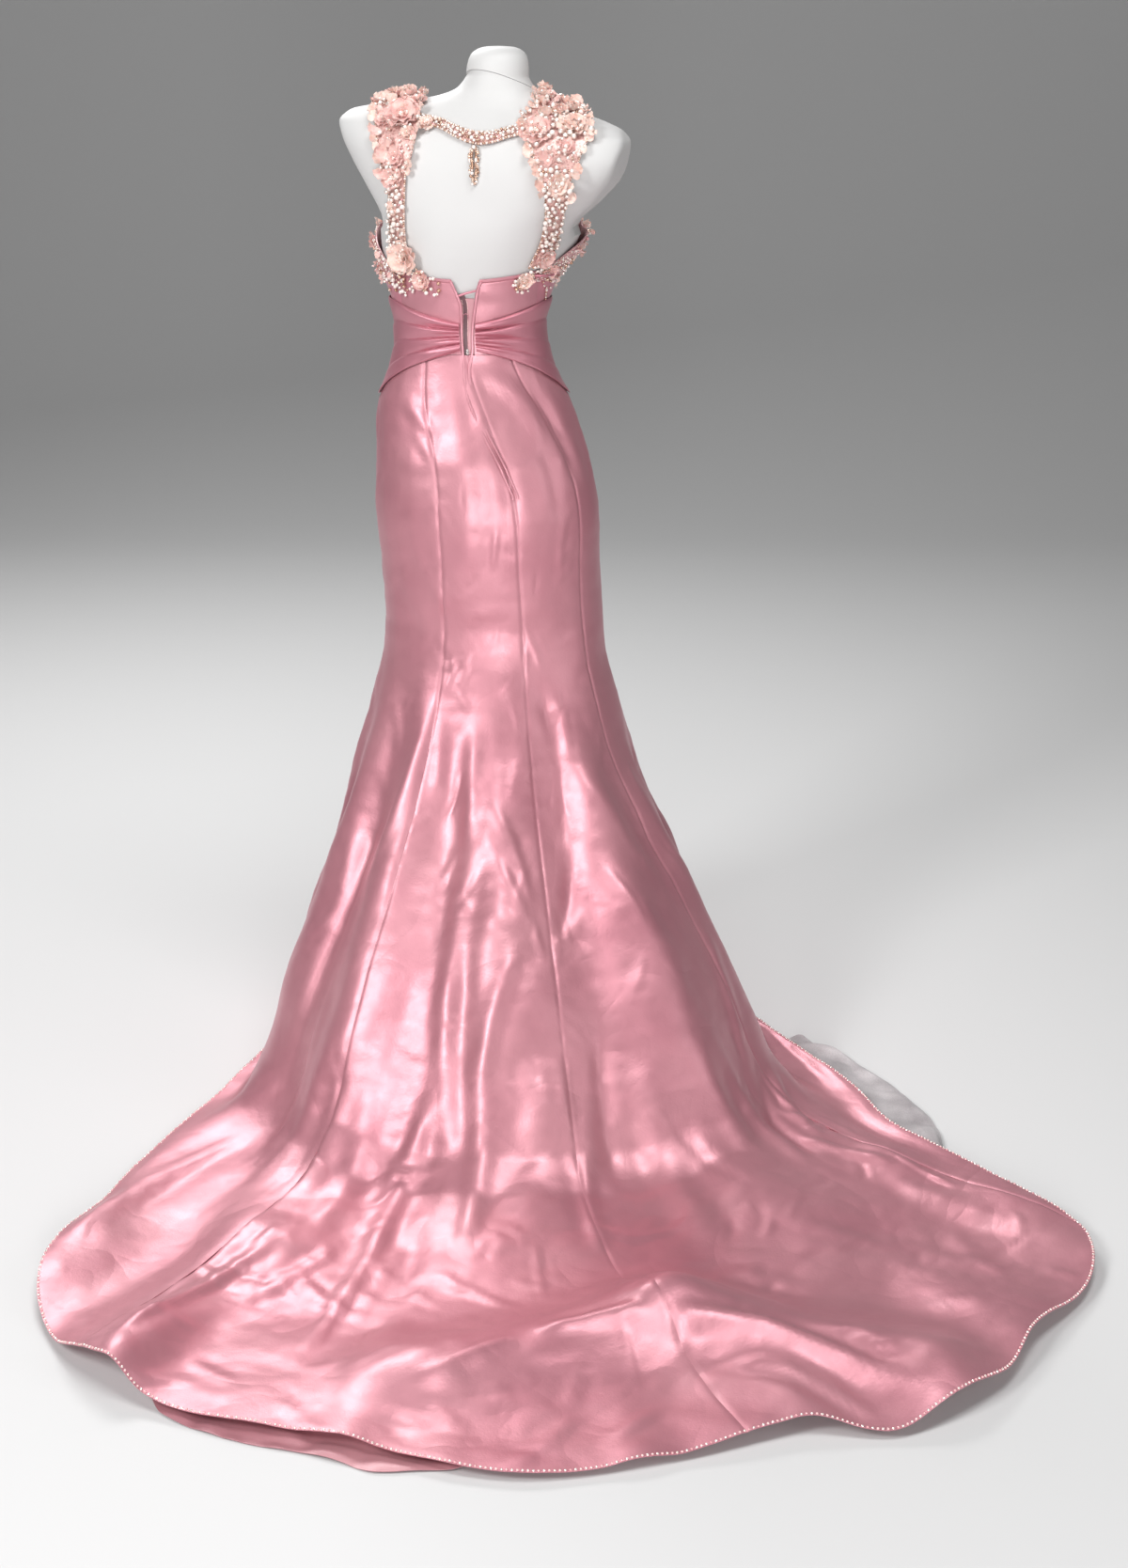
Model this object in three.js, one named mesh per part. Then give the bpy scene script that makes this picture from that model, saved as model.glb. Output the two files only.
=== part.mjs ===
// Evening gown with a train, standing on a limbless dress form. Millimetres, +Z up.
// The origin is on the floor under the form's axis. The gown's back and train face -Y,
// the wearer's right is +X. Bearings run from -Y (0) towards +X (90), in degrees.
import * as THREE from 'three';

const CLOTH = 2.0;            // wall of the satin panels
const NET = 1.2;              // wall of the net and of the hem lining
const LAYER_GAP = 0.5;        // between a panel and what lies on it
const SEAM_GAP = 0.3;
// How far the form's surface lies inside the clothed figure's. It is deeper under the gown.
const FORM_INSET = [
  { z: 800, inset: 6 },
  { z: 1060, inset: 6 },
  { z: 1110, inset: 3.8 },
  { z: 1225, inset: 3.6 },
  { z: 1262, inset: 2.8 },
];
const WAIST_Z = 1122;
const KNEE_Z = 716;
const FORM_BOTTOM_Z = 800;

// Rings of the clothed figure: centre, half width, reach behind and in front of the centre,
// superellipse power, where the stub ends are cut flat, turn about the vertical and tilt sideways.
const FIGURE = [
  { z: 716, x: 6, y: -8, half: 166, back: 122, front: 112, power: 2.1, cap: 300, turn: 0, tilt: 0 },
  { z: 800, x: 2, y: -6, half: 166, back: 128, front: 110, power: 2.1, cap: 300, turn: 0, tilt: 0 },
  { z: 880, x: -2, y: -5, half: 169, back: 130, front: 112, power: 2.15, cap: 300, turn: 0, tilt: 0 },
  { z: 960, x: -9, y: -2, half: 160, back: 122, front: 108, power: 2.15, cap: 300, turn: 0, tilt: 0 },
  { z: 1010, x: -16, y: 0, half: 150, back: 108, front: 103, power: 2.1, cap: 300, turn: 0, tilt: 0 },
  { z: 1045, x: -20, y: 2, half: 142, back: 98, front: 98, power: 2.1, cap: 300, turn: 0, tilt: 0 },
  { z: 1080, x: -23, y: 3, half: 127, back: 89, front: 91, power: 2.1, cap: 300, turn: 0, tilt: 0 },
  { z: 1120, x: -24, y: 4, half: 114, back: 83, front: 84, power: 2.1, cap: 300, turn: 0, tilt: 0 },
  { z: 1155, x: -26, y: 4, half: 110, back: 81, front: 82, power: 2.1, cap: 300, turn: 0, tilt: 0 },
  { z: 1190, x: -25, y: 4, half: 116, back: 84, front: 86, power: 2.1, cap: 300, turn: 0, tilt: 0 },
  { z: 1225, x: -24, y: 4, half: 123, back: 88, front: 93, power: 2.15, cap: 300, turn: -2, tilt: 0 },
  { z: 1262, x: -18, y: 4, half: 132, back: 93, front: 100, power: 2.2, cap: 300, turn: -5, tilt: 0.5 },
  { z: 1302, x: -10, y: 4, half: 147, back: 97, front: 98, power: 2.25, cap: 142, turn: -9, tilt: 1.5 },
  { z: 1346, x: 0, y: 5, half: 184, back: 98, front: 90, power: 2.4, cap: 171, turn: -13, tilt: 2.6 },
  { z: 1380, x: 3, y: 6, half: 210, back: 96, front: 84, power: 2.5, cap: 196, turn: -15, tilt: 3.2 },
  { z: 1412, x: 0, y: 8, half: 226, back: 87, front: 76, power: 2.5, cap: 211, turn: -16, tilt: 3.4 },
  { z: 1434, x: -2, y: 10, half: 228, back: 75, front: 66, power: 2.4, cap: 218, turn: -16, tilt: 3.4 },
  { z: 1449, x: -1, y: 12, half: 209, back: 64, front: 58, power: 2.2, cap: 212, turn: -16, tilt: 3.4 },
  { z: 1460, x: 4, y: 14, half: 172, back: 56, front: 51, power: 2.1, cap: 214, turn: -16, tilt: 3.2 },
  { z: 1469, x: 8, y: 16, half: 126, back: 51, front: 47, power: 2, cap: 214, turn: -16, tilt: 2.6 },
  { z: 1480, x: 13, y: 19, half: 85, back: 48, front: 45, power: 2, cap: 214, turn: -16, tilt: 1.6 },
  { z: 1492, x: 16, y: 22, half: 61, back: 47, front: 44, power: 2, cap: 214, turn: -16, tilt: 0.8 },
  { z: 1512, x: 18, y: 27, half: 46, back: 47, front: 43, power: 2, cap: 214, turn: -16, tilt: 0 },
];
const BUST = { bearing: 50, z: 1270, lift: 26, side: 1.5, across: 26, along: 34 };

// The skirt under the knee: height and share of the way from the knee ring out to the foot line.
const FALL = [
  { level: 1, z: 716, share: 0 },
  { level: 1.12, z: 664, share: 0.02 },
  { level: 1.24, z: 610, share: 0.062 },
  { level: 1.36, z: 547, share: 0.122 },
  { level: 1.48, z: 480, share: 0.205 },
  { level: 1.6, z: 404, share: 0.325 },
  { level: 1.7, z: 326, share: 0.465 },
  { level: 1.79, z: 246, share: 0.605 },
  { level: 1.87, z: 168, share: 0.73 },
  { level: 1.93, z: 106, share: 0.825 },
  { level: 1.98, z: 62, share: 0.905 },
  { level: 2.06, z: 31, share: 1.01 },
  { level: 2.2, z: 12, share: 1.17 },
  { level: 2.34, z: 4, share: 1.33 },
  { level: 2.48, z: 2, share: 1.48 },
  { level: 3, z: 2, share: 2 },
];
// Rows of the skirt's wall, from the waist seam (0) over the knee (1) and the foot line (2) to the hem (3).
const SKIRT_LEVELS = [
  0, 0.06, 0.13, 0.23, 0.36, 0.5, 0.74, 1, 1.12, 1.24, 1.36, 1.48, 1.6, 1.7, 1.79, 1.87, 1.93, 1.98,
  2.06, 2.2, 2.34, 2.48, 2.62, 2.76, 2.88, 2.96, 3,
];
// Where the skirt meets the floor and where its hem lies, by bearing, from the form's axis.
const PLAN = [
  { bearing: -180, foot: 300, reach: 318 },
  { bearing: -150, foot: 303, reach: 322 },
  { bearing: -120, foot: 316, reach: 336 },
  { bearing: -90, foot: 338, reach: 352 },
  { bearing: -76, foot: 362, reach: 392 },
  { bearing: -64, foot: 398, reach: 462 },
  { bearing: -56, foot: 430, reach: 545 },
  { bearing: -50, foot: 460, reach: 645 },
  { bearing: -43, foot: 492, reach: 795 },
  { bearing: -38, foot: 515, reach: 945 },
  { bearing: -33, foot: 535, reach: 1040 },
  { bearing: -26, foot: 560, reach: 1112 },
  { bearing: -18, foot: 585, reach: 1150 },
  { bearing: -8, foot: 605, reach: 1165 },
  { bearing: 4, foot: 620, reach: 1222 },
  { bearing: 12, foot: 628, reach: 1208 },
  { bearing: 19, foot: 632, reach: 1196 },
  { bearing: 25, foot: 632, reach: 1248 },
  { bearing: 32, foot: 625, reach: 1226 },
  { bearing: 38, foot: 612, reach: 1172 },
  { bearing: 44, foot: 590, reach: 1150 },
  { bearing: 50, foot: 562, reach: 1085 },
  { bearing: 54, foot: 545, reach: 925 },
  { bearing: 60, foot: 515, reach: 700 },
  { bearing: 68, foot: 480, reach: 612 },
  { bearing: 78, foot: 450, reach: 520 },
  { bearing: 90, foot: 425, reach: 458 },
  { bearing: 120, foot: 352, reach: 372 },
  { bearing: 150, foot: 312, reach: 331 },
  { bearing: 180, foot: 300, reach: 318 },
];
// Seams between the gores, by level. The two in front run straight down.
const SEAMS = [
  { level: 0, back_left: -34, centre_back: -2, back_right: 30, right: 92, left: 268 },
  { level: 0.5, back_left: -22, centre_back: 14, back_right: 54, right: 94, left: 266 },
  { level: 1, back_left: -24, centre_back: 15, back_right: 54, right: 95, left: 264 },
  { level: 2, back_left: -25, centre_back: 13, back_right: 53, right: 95, left: 264 },
  { level: 3, back_left: -26, centre_back: 16, back_right: 51, right: 95, left: 264 },
];
const FRONT_SEAMS = { front_right: 150, front_left: 210 };
const GORES = [
  { name: 'skirt_side_back_left', from: 'left', to: 'back_left', columns: 11 },
  { name: 'skirt_back_left', from: 'back_left', to: 'centre_back', columns: 14 },
  { name: 'skirt_back_right', from: 'centre_back', to: 'back_right', columns: 14 },
  { name: 'skirt_side_back_right', from: 'back_right', to: 'right', columns: 9 },
  { name: 'skirt_side_front_right', from: 'right', to: 'front_right', columns: 6 },
  { name: 'skirt_front', from: 'front_right', to: 'front_left', columns: 7 },
  { name: 'skirt_side_front_left', from: 'front_left', to: 'left', columns: 6 },
];
// Standing folds that run down the skirt: bearing at the top and at the hem, width in degrees,
// height, and the levels where they rise and die away.
const FOLDS = [
  { top: -90, hem: -66, width: 9, height: 15, from: 1, to: 2.1 },
  { top: -62, hem: -39, width: 8, height: 26, from: 1.1, to: 3.1 },
  { top: -44, hem: -33, width: 8, height: -20, from: 1.3, to: 3 },
  { top: -31, hem: -27, width: 6, height: 24, from: 1.1, to: 2.6 },
  { top: -12, hem: -12, width: 6, height: -14, from: 1.2, to: 2.4 },
  { top: 2, hem: 0, width: 6, height: 14, from: 1.1, to: 2.5 },
  { top: 22, hem: 22, width: 5, height: -16, from: 1.1, to: 2.3 },
  { top: 34, hem: 36, width: 7, height: 18, from: 1.2, to: 2.7 },
  { top: 66, hem: 54, width: 7, height: 20, from: 1.3, to: 2.7 },
  { top: 80, hem: 76, width: 7, height: -16, from: 1.4, to: 2.9 },
  { top: 118, hem: 118, width: 10, height: 14, from: 1.2, to: 3.1 },
  { top: 140, hem: 140, width: 8, height: -12, from: 1.3, to: 3.1 },
  { top: 168, hem: 170, width: 9, height: 13, from: 1.2, to: 3.1 },
  { top: 196, hem: 194, width: 8, height: -12, from: 1.3, to: 3.1 },
  { top: 222, hem: 224, width: 10, height: 14, from: 1.2, to: 3.1 },
  { top: 248, hem: 250, width: 8, height: -12, from: 1.3, to: 3.1 },
];
// Ridges in the train, from one floor point to another.
const RIDGES = [
  { x1: -60, y1: -1010, x2: 250, y2: -900, width: 55, height: 34 },
  { x1: 250, y1: -900, x2: 560, y2: -1020, width: 60, height: 42 },
  { x1: -300, y1: -690, x2: -470, y2: -985, width: 45, height: 22 },
  { x1: 600, y1: -470, x2: 760, y2: -640, width: 40, height: 12 },
];
// Places where the hem stands up off the floor.
const HEM_WAVES = [
  { bearing: -37, width: 3.5, height: 26 },
  { bearing: -24, width: 2.6, height: 22 },
  { bearing: -13, width: 6, height: 16 },
  { bearing: 2, width: 5, height: 10 },
  { bearing: 17, width: 3.4, height: 20 },
  { bearing: 29, width: 3.2, height: 18 },
  { bearing: 38.5, width: 2.6, height: 24 },
  { bearing: 48, width: 4, height: 16 },
  { bearing: 66, width: 12, height: 13 },
];

const BODICE_TOP = [
  { bearing: -180, z: 1292 },
  { bearing: -150, z: 1316 },
  { bearing: -120, z: 1300 },
  { bearing: -90, z: 1272 },
  { bearing: -60, z: 1244 },
  { bearing: -30, z: 1235 },
  { bearing: 0, z: 1231 },
  { bearing: 30, z: 1236 },
  { bearing: 60, z: 1246 },
  { bearing: 90, z: 1272 },
  { bearing: 120, z: 1300 },
  { bearing: 150, z: 1316 },
  { bearing: 180, z: 1292 },
];
const BODICE_ROWS = 10;
// The opening at the centre back, from the waist seam up: bearings of the two bodice edges.
const OPENING = [
  { z: 1120, left: -4.5, right: 3.5 },
  { z: 1170, left: -4, right: 3.4 },
  { z: 1192, left: -4.2, right: 3.6 },
  { z: 1213, left: -6, right: 4.6 },
  { z: 1240, left: -9.5, right: 8.5 },
];
const BODICE = [
  { name: 'bodice_back_left', from: -56, to: 'left', columns: 8 },
  { name: 'bodice_back_right', from: 'right', to: 56, columns: 8 },
  { name: 'bodice_side_right', from: 56, to: 112, columns: 7 },
  { name: 'bodice_front', from: 112, to: 248, columns: 14 },
  { name: 'bodice_side_left', from: 248, to: 304, columns: 7 },
];

// The pleated sash: its edges by bearing away from the centre back.
const SASH = [
  { bearing: 0, top: 1166, bottom: 1131, bulge: 3.5 },
  { bearing: 20, top: 1174, bottom: 1120, bulge: 3.5 },
  { bearing: 45, top: 1186, bottom: 1103, bulge: 3 },
  { bearing: 70, top: 1196, bottom: 1078, bulge: 2.6 },
  { bearing: 95, top: 1197, bottom: 1052, bulge: 2.6 },
  { bearing: 180, top: 1192, bottom: 1052, bulge: 2.6 },
];
const SASH_WALL = 1.4;
const SASH_LIFT = 1.3;         // from the bodice and skirt under it
const SASH_PLEATS = 4;
const SASH_ROWS = 13;
const SASH_PARTS = [
  { name: 'sash_back_left', from: -92, to: -5.6, columns: 9 },
  { name: 'sash_back_right', from: 4.6, to: 92, columns: 9 },
  { name: 'sash_front', from: 92, to: 268, columns: 18 },
];

// Bound edges beside the zip: bearing by height, down over the skirt to the zip's end.
const PLACKET = [
  { z: 924, left: 13.8, right: 16.4 },
  { z: 976, left: 8.2, right: 10.8 },
  { z: 1025, left: 2.3, right: 5.1 },
  { z: 1066, left: -2, right: 1 },
  { z: 1100, left: -3.6, right: -0.4 },
  { z: 1131, left: -4.4, right: 2.2 },
  { z: 1170, left: -4.4, right: 3.4 },
  { z: 1192, left: -4.8, right: 4.4 },
  { z: 1213, left: -7, right: 6 },
  { z: 1232, left: -9.6, right: 9.2 },
];
const PLACKET_WIDTH = 4;
const PLACKET_WALL = 1.8;
const PLACKET_TOP = 1229;
const ZIP_GAP = 6.5;          // open gap between the left edge and the zip tape
const ZIP_TOP = 1204;
const SLIDER = { bearing: -1.1, z: 1127, width: 5, height: 8, thick: 2.2 };
const HOOK = { z: 1212, height: 3, thick: 1.2 };

// Straps over the shoulders: sideways place, height, turn over the shoulder (0 behind, 180 in front)
// and half width.
const STRAP_TURN_Z = 1385;
const STRAP_LEFT = [
  { x: -119, z: 1250, turn: 0, half: 12 },
  { x: -124, z: 1275, turn: 0, half: 12 },
  { x: -125, z: 1310, turn: 0, half: 11 },
  { x: -125, z: 1350, turn: 0, half: 12 },
  { x: -127, z: STRAP_TURN_Z, turn: 0, half: 18 },
  { x: -126, z: STRAP_TURN_Z, turn: 22, half: 27 },
  { x: -125, z: STRAP_TURN_Z, turn: 48, half: 33 },
  { x: -124, z: STRAP_TURN_Z, turn: 72, half: 33 },
  { x: -123, z: STRAP_TURN_Z, turn: 86, half: 32 },
  { x: -122, z: STRAP_TURN_Z, turn: 99, half: 29 },
  { x: -121, z: STRAP_TURN_Z, turn: 112, half: 27 },
  { x: -120, z: STRAP_TURN_Z, turn: 125, half: 25 },
  { x: -117, z: STRAP_TURN_Z, turn: 155, half: 21 },
  { x: -114, z: STRAP_TURN_Z, turn: 180, half: 18 },
  { x: -110, z: 1352, turn: 180, half: 16 },
  { x: -106, z: 1326, turn: 180, half: 15 },
];
const STRAP_RIGHT = [
  { x: 74, z: 1248, turn: 0, half: 13 },
  { x: 90, z: 1285, turn: 0, half: 12 },
  { x: 99, z: 1322, turn: 0, half: 13 },
  { x: 103, z: 1355, turn: 0, half: 17 },
  { x: 104, z: STRAP_TURN_Z, turn: 0, half: 25 },
  { x: 103, z: STRAP_TURN_Z, turn: 22, half: 38 },
  { x: 102, z: STRAP_TURN_Z, turn: 48, half: 50 },
  { x: 107, z: STRAP_TURN_Z, turn: 72, half: 38 },
  { x: 107, z: STRAP_TURN_Z, turn: 86, half: 34 },
  { x: 107, z: STRAP_TURN_Z, turn: 99, half: 30 },
  { x: 106, z: STRAP_TURN_Z, turn: 112, half: 27 },
  { x: 104, z: STRAP_TURN_Z, turn: 125, half: 25 },
  { x: 98, z: STRAP_TURN_Z, turn: 155, half: 21 },
  { x: 96, z: STRAP_TURN_Z, turn: 180, half: 18 },
  { x: 92, z: 1352, turn: 180, half: 16 },
  { x: 88, z: 1326, turn: 180, half: 15 },
];
const STRAP_WALL = 1.6;
const FORM_GAP = 2.2;        // between the bare form and what lies on it

const BRIDGE = [
  { x: -91.2, z: 1449, half: 6 },
  { x: -75, z: 1447, half: 6 },
  { x: -59, z: 1443, half: 6.5 },
  { x: -46, z: 1437, half: 7 },
  { x: -33, z: 1432, half: 7.5 },
  { x: -20, z: 1428, half: 8 },
  { x: -6, z: 1426, half: 8 },
  { x: 8, z: 1427, half: 7.5 },
  { x: 22, z: 1430, half: 7 },
  { x: 36, z: 1434, half: 6.5 },
  { x: 52, z: 1437, half: 6 },
];
const PENDANT = { x: -14, top: 1419.4, length: 56, radius: 8, flat: 0.5 };
const PENDANT_ROWS = [
  { share: 0, radius: 0.35 },
  { share: 0.1, radius: 0.8 },
  { share: 0.3, radius: 1 },
  { share: 0.48, radius: 0.7 },
  { share: 0.62, radius: 0.85 },
  { share: 0.78, radius: 0.5 },
  { share: 0.9, radius: 0.6 },
  { share: 1, radius: 0.3 },
];

// Raised flowers of the applique: place on the back, turn over the shoulder, radius and petals.
const FLOWERS = [
  { name: 'flower_left_shoulder', x: -117, z: STRAP_TURN_Z, turn: 50, radius: 27, petals: 6 },
  { name: 'flower_left_top', x: -136, z: STRAP_TURN_Z, turn: 86, radius: 18, petals: 5 },
  { name: 'flower_left_inner', x: -84, z: 1446, turn: 0, radius: 12, petals: 5 },
  { name: 'flower_left_low', x: -130, z: 1372, turn: 0, radius: 18, petals: 5 },
  { name: 'flower_left_waist', x: -118, z: 1262, turn: 0, radius: 27, petals: 6 },
  { name: 'flower_left_back', x: -92, z: 1228, turn: 0, radius: 15, petals: 5 },
  { name: 'flower_right_inner', x: 74, z: STRAP_TURN_Z, turn: 38, radius: 23, petals: 6 },
  { name: 'flower_right_shoulder', x: 128, z: STRAP_TURN_Z, turn: 50, radius: 24, petals: 6 },
  { name: 'flower_right_top', x: 118, z: STRAP_TURN_Z, turn: 90, radius: 17, petals: 5 },
  { name: 'flower_right_low', x: 106, z: 1366, turn: 0, radius: 18, petals: 5 },
  { name: 'flower_right_waist', x: 86, z: 1262, turn: 0, radius: 16, petals: 5 },
  { name: 'flower_right_back', x: 56, z: 1229, turn: 0, radius: 13, petals: 5 },
];

const FLOWER_HEIGHT = 0.42;   // as a share of a flower's radius
const STAND = { pole_radius: 14, base_radius: 150, base_height: 14, base_edge: 8 };
const NECK_CAP = { gap: 0.4, height: 42, lean_x: 0.06, lean_y: 0.12 };
const NECK_ROWS = [
  { rise: 0, share: 1 },
  { rise: 10, share: 0.99 },
  { rise: 20, share: 0.96 },
  { rise: 30, share: 0.88 },
  { rise: 37, share: 0.7 },
  { rise: 41, share: 0.42 },
];
const HEM_LINING = { from: -20, to: 1, columns: 13 };
const LINING_EDGE = [
  { bearing: -20.5, outer: 1160 },
  { bearing: -16.6, outer: 1168 },
  { bearing: -12.6, outer: 1174 },
  { bearing: -7, outer: 1194 },
  { bearing: -5, outer: 1205 },
  { bearing: -3, outer: 1198 },
  { bearing: 1, outer: 1214 },
];
const NET_SHEET = { from: 57, to: 86, columns: 12 };
const HEM_STRIP_LEVEL = 2.88;
const HEM_STRIP_GAP = 1.1;
// Outer edge of the net on the floor.
const NET_EDGE = [
  { bearing: 56, outer: 812 },
  { bearing: 61, outer: 776 },
  { bearing: 66, outer: 725 },
  { bearing: 72, outer: 657 },
  { bearing: 78, outer: 590 },
  { bearing: 86, outer: 505 },
];

const COLOURS = {
  satin: 0xd08a98,
  applique: 0xe8b8ae,
  beads: 0xd8c4b4,
  form: 0xeeebe6,
  metal: 0xb9b9bd,
  net: 0xa89aa0,
  lining: 0xc08a90,
};

const rad = THREE.MathUtils.degToRad;
const mix = THREE.MathUtils.lerp;
const bell = (distance, width) => Math.exp(-0.5 * (distance / width) ** 2);
const smooth = (value, low, high) => THREE.MathUtils.smoothstep(value, low, high);

// Smooth reading of one column of a table, with slopes taken from the neighbouring rows.
function read(table, key, at, column) {
  const last = table.length - 1;
  if (at <= table[0][key]) return table[0][column];
  if (at >= table[last][key]) return table[last][column];
  let i = 0;
  while (table[i + 1][key] < at) i += 1;
  const step = table[i + 1][key] - table[i][key];
  const rise = (k) => (table[k + 1][column] - table[k][column]) / (table[k + 1][key] - table[k][key]);
  const here = rise(i);
  const before = i > 0 ? rise(i - 1) : here;
  const after = i < last - 1 ? rise(i + 1) : here;
  const slopeIn = before * here > 0 ? 2 * before * here / (before + here) : 0;
  const slopeOut = after * here > 0 ? 2 * after * here / (after + here) : 0;
  const t = (at - table[i][key]) / step;
  const startValue = table[i][column] * (2 * t ** 3 - 3 * t ** 2 + 1);
  const endValue = table[i + 1][column] * (3 * t ** 2 - 2 * t ** 3);
  const startSlope = slopeIn * step * (t ** 3 - 2 * t ** 2 + t);
  const endSlope = slopeOut * step * (t ** 3 - t ** 2);
  return startValue + endValue + startSlope + endSlope;
}

const wrap = (bearing) => ((bearing + 180) % 360 + 360) % 360 - 180;

// A point of the clothed figure's surface at a height, moved out by a distance.
function figure(bearing, z, out, bustShare = 1) {
  const row = (column) => read(FIGURE, 'z', z, column);
  const s = Math.sin(rad(bearing));
  const c = Math.cos(rad(bearing));
  const power = 2 / row('power');
  const around = Math.abs(wrap(bearing));
  const cup = bell(around - (180 - BUST.bearing), BUST.across) * bell(z - BUST.z, BUST.along);
  const bust = bustShare * BUST.lift * cup;
  const depth = (c > 0 ? row('back') : row('front') + bust) + out;
  const across = Math.sign(s) * Math.abs(s) ** power * (row('half') + out + bust * BUST.side);
  const x = THREE.MathUtils.clamp(across, -row('cap') - out, row('cap') + out);
  const y = -Math.sign(c) * Math.abs(c) ** power * depth;
  const turn = rad(row('turn'));
  const turned = x * Math.cos(turn) - y * Math.sin(turn);
  const sunk = turned * Math.tan(rad(row('tilt')));
  return new THREE.Vector3(row('x') + turned, row('y') + x * Math.sin(turn) + y * Math.cos(turn), z - sunk);
}

// A closed wall between two grids of points, rows by columns, the outer one facing out.
function wall(outer, inner) {
  const rows = outer.length;
  const columns = outer[0].length;
  const positions = [...outer.flat(), ...inner.flat()].flatMap((point) => point.toArray());
  const out = (r, c) => r * columns + c;
  const back = (r, c) => rows * columns + r * columns + c;
  const faces = [];
  const quad = (a, b, c, d) => faces.push(a, b, c, a, c, d);
  for (let r = 0; r < rows - 1; r += 1) {
    for (let c = 0; c < columns - 1; c += 1) {
      quad(out(r, c), out(r, c + 1), out(r + 1, c + 1), out(r + 1, c));
      quad(back(r, c), back(r + 1, c), back(r + 1, c + 1), back(r, c + 1));
    }
    quad(out(r, 0), out(r + 1, 0), back(r + 1, 0), back(r, 0));
    quad(out(r, columns - 1), back(r, columns - 1), back(r + 1, columns - 1), out(r + 1, columns - 1));
  }
  for (let c = 0; c < columns - 1; c += 1) {
    quad(out(0, c), back(0, c), back(0, c + 1), out(0, c + 1));
    quad(out(rows - 1, c), out(rows - 1, c + 1), back(rows - 1, c + 1), back(rows - 1, c));
  }
  return solid(positions, faces);
}

// A closed body through rings of points, from the lowest up, with a point at each end.
function loft(rings, bottom, top) {
  const count = rings[0].length;
  const points = [...rings.flat(), bottom, top];
  const faces = [];
  for (let r = 0; r < rings.length - 1; r += 1) {
    for (let c = 0; c < count; c += 1) {
      const next = (c + 1) % count;
      const low = r * count;
      const high = low + count;
      faces.push(low + c, low + next, high + next, low + c, high + next, high + c);
    }
  }
  const low = rings.length * count;
  const lastRing = (rings.length - 1) * count;
  for (let c = 0; c < count; c += 1) {
    const next = (c + 1) % count;
    faces.push(low, next, c, low + 1, lastRing + c, lastRing + next);
  }
  return solid(points.flatMap((point) => point.toArray()), faces);
}

// A geometry whose faces are turned so that they point out.
function solid(positions, faces) {
  const point = (i) => new THREE.Vector3(positions[3 * i], positions[3 * i + 1], positions[3 * i + 2]);
  let volume = 0;
  for (let i = 0; i < faces.length; i += 3) {
    volume += point(faces[i]).dot(point(faces[i + 1]).cross(point(faces[i + 2])));
  }
  if (volume < 0) faces.reverse();
  const geometry = new THREE.BufferGeometry();
  geometry.setAttribute('position', new THREE.Float32BufferAttribute(positions, 3));
  geometry.setIndex(faces);
  return geometry;
}

const part = new THREE.Group();
function add(name, geometry, colour, roughness = 0.6, metalness = 0) {
  geometry.computeVertexNormals();
  const material = new THREE.MeshStandardMaterial({ color: colour, roughness, metalness });
  const mesh = new THREE.Mesh(geometry, material);
  mesh.name = name;
  part.add(mesh);
  return mesh;
}

// Form
const FORM_SIDES = 32;
const FORM_BUST = 0.7;        // the form's bust is this share of the bodice's cups
const FORM_LEVELS = [
  800, 870, 940, 1000, 1050, 1090, 1120, 1140, 1160, 1182, 1206, 1232, 1256, 1280, 1304, 1328, 1354,
  1380, 1404, 1422, 1436, 1447, 1456, 1464, 1472, 1482, 1494, 1508,
];
function formTorso() {
  const rings = FORM_LEVELS.map((z) => Array.from({ length: FORM_SIDES }, (_, i) =>
    figure(i * 360 / FORM_SIDES, z, -read(FORM_INSET, 'z', z, 'inset'), FORM_BUST)));
  const centre = (ring) => ring.reduce((sum, p) => sum.add(p), new THREE.Vector3()).divideScalar(ring.length);
  return loft(rings, centre(rings[0]), centre(rings[rings.length - 1]));
}

const NECK_SIDES = 20;
function neckCap() {
  const top = FORM_LEVELS[FORM_LEVELS.length - 1];
  const base = top + NECK_CAP.gap;
  const x = read(FIGURE, 'z', top, 'x');
  const y = read(FIGURE, 'z', top, 'y');
  const leaning = (px, py, rise) =>
    new THREE.Vector3(px + rise * NECK_CAP.lean_x, py + rise * NECK_CAP.lean_y, base + rise);
  const rings = NECK_ROWS.map(({ rise, share }) => Array.from({ length: NECK_SIDES }, (_, i) => {
    const edge = figure(i * 360 / NECK_SIDES, top, -read(FORM_INSET, 'z', top, 'inset'));
    return leaning(mix(x, edge.x, share), mix(y, edge.y, share), rise);
  }));
  return loft(rings, leaning(x, y, 0), leaning(x, y, NECK_CAP.height));
}

function lathe(profile, sides) {
  const geometry = new THREE.LatheGeometry(profile.map(([r, z]) => new THREE.Vector2(r, z)), sides);
  geometry.rotateX(Math.PI / 2);
  return geometry;
}

// Skirt
function skirtBase(bearing, level) {
  if (level <= 1) return figure(bearing, mix(WAIST_Z, KNEE_Z, level), 0);
  const knee = figure(bearing, KNEE_Z, 0);
  const share = read(FALL, 'level', level, 'share');
  const foot = read(PLAN, 'bearing', wrap(bearing), 'foot');
  const reach = read(PLAN, 'bearing', wrap(bearing), 'reach');
  const out = new THREE.Vector3(Math.sin(rad(bearing)), -Math.cos(rad(bearing)), 0);
  const edge = share <= 1
    ? knee.lerp(out.clone().multiplyScalar(foot), share)
    : out.clone().multiplyScalar(mix(foot, reach, share - 1));
  edge.z = read(FALL, 'level', level, 'z');
  return edge;
}

function skirtNormal(bearing, level) {
  const step = 0.02;
  const side = skirtBase(bearing + 1, level).sub(skirtBase(bearing - 1, level));
  const above = skirtBase(bearing, Math.max(level - step, 0));
  const down = skirtBase(bearing, Math.min(level + step, 3)).sub(above);
  return down.cross(side).normalize();
}

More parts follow.
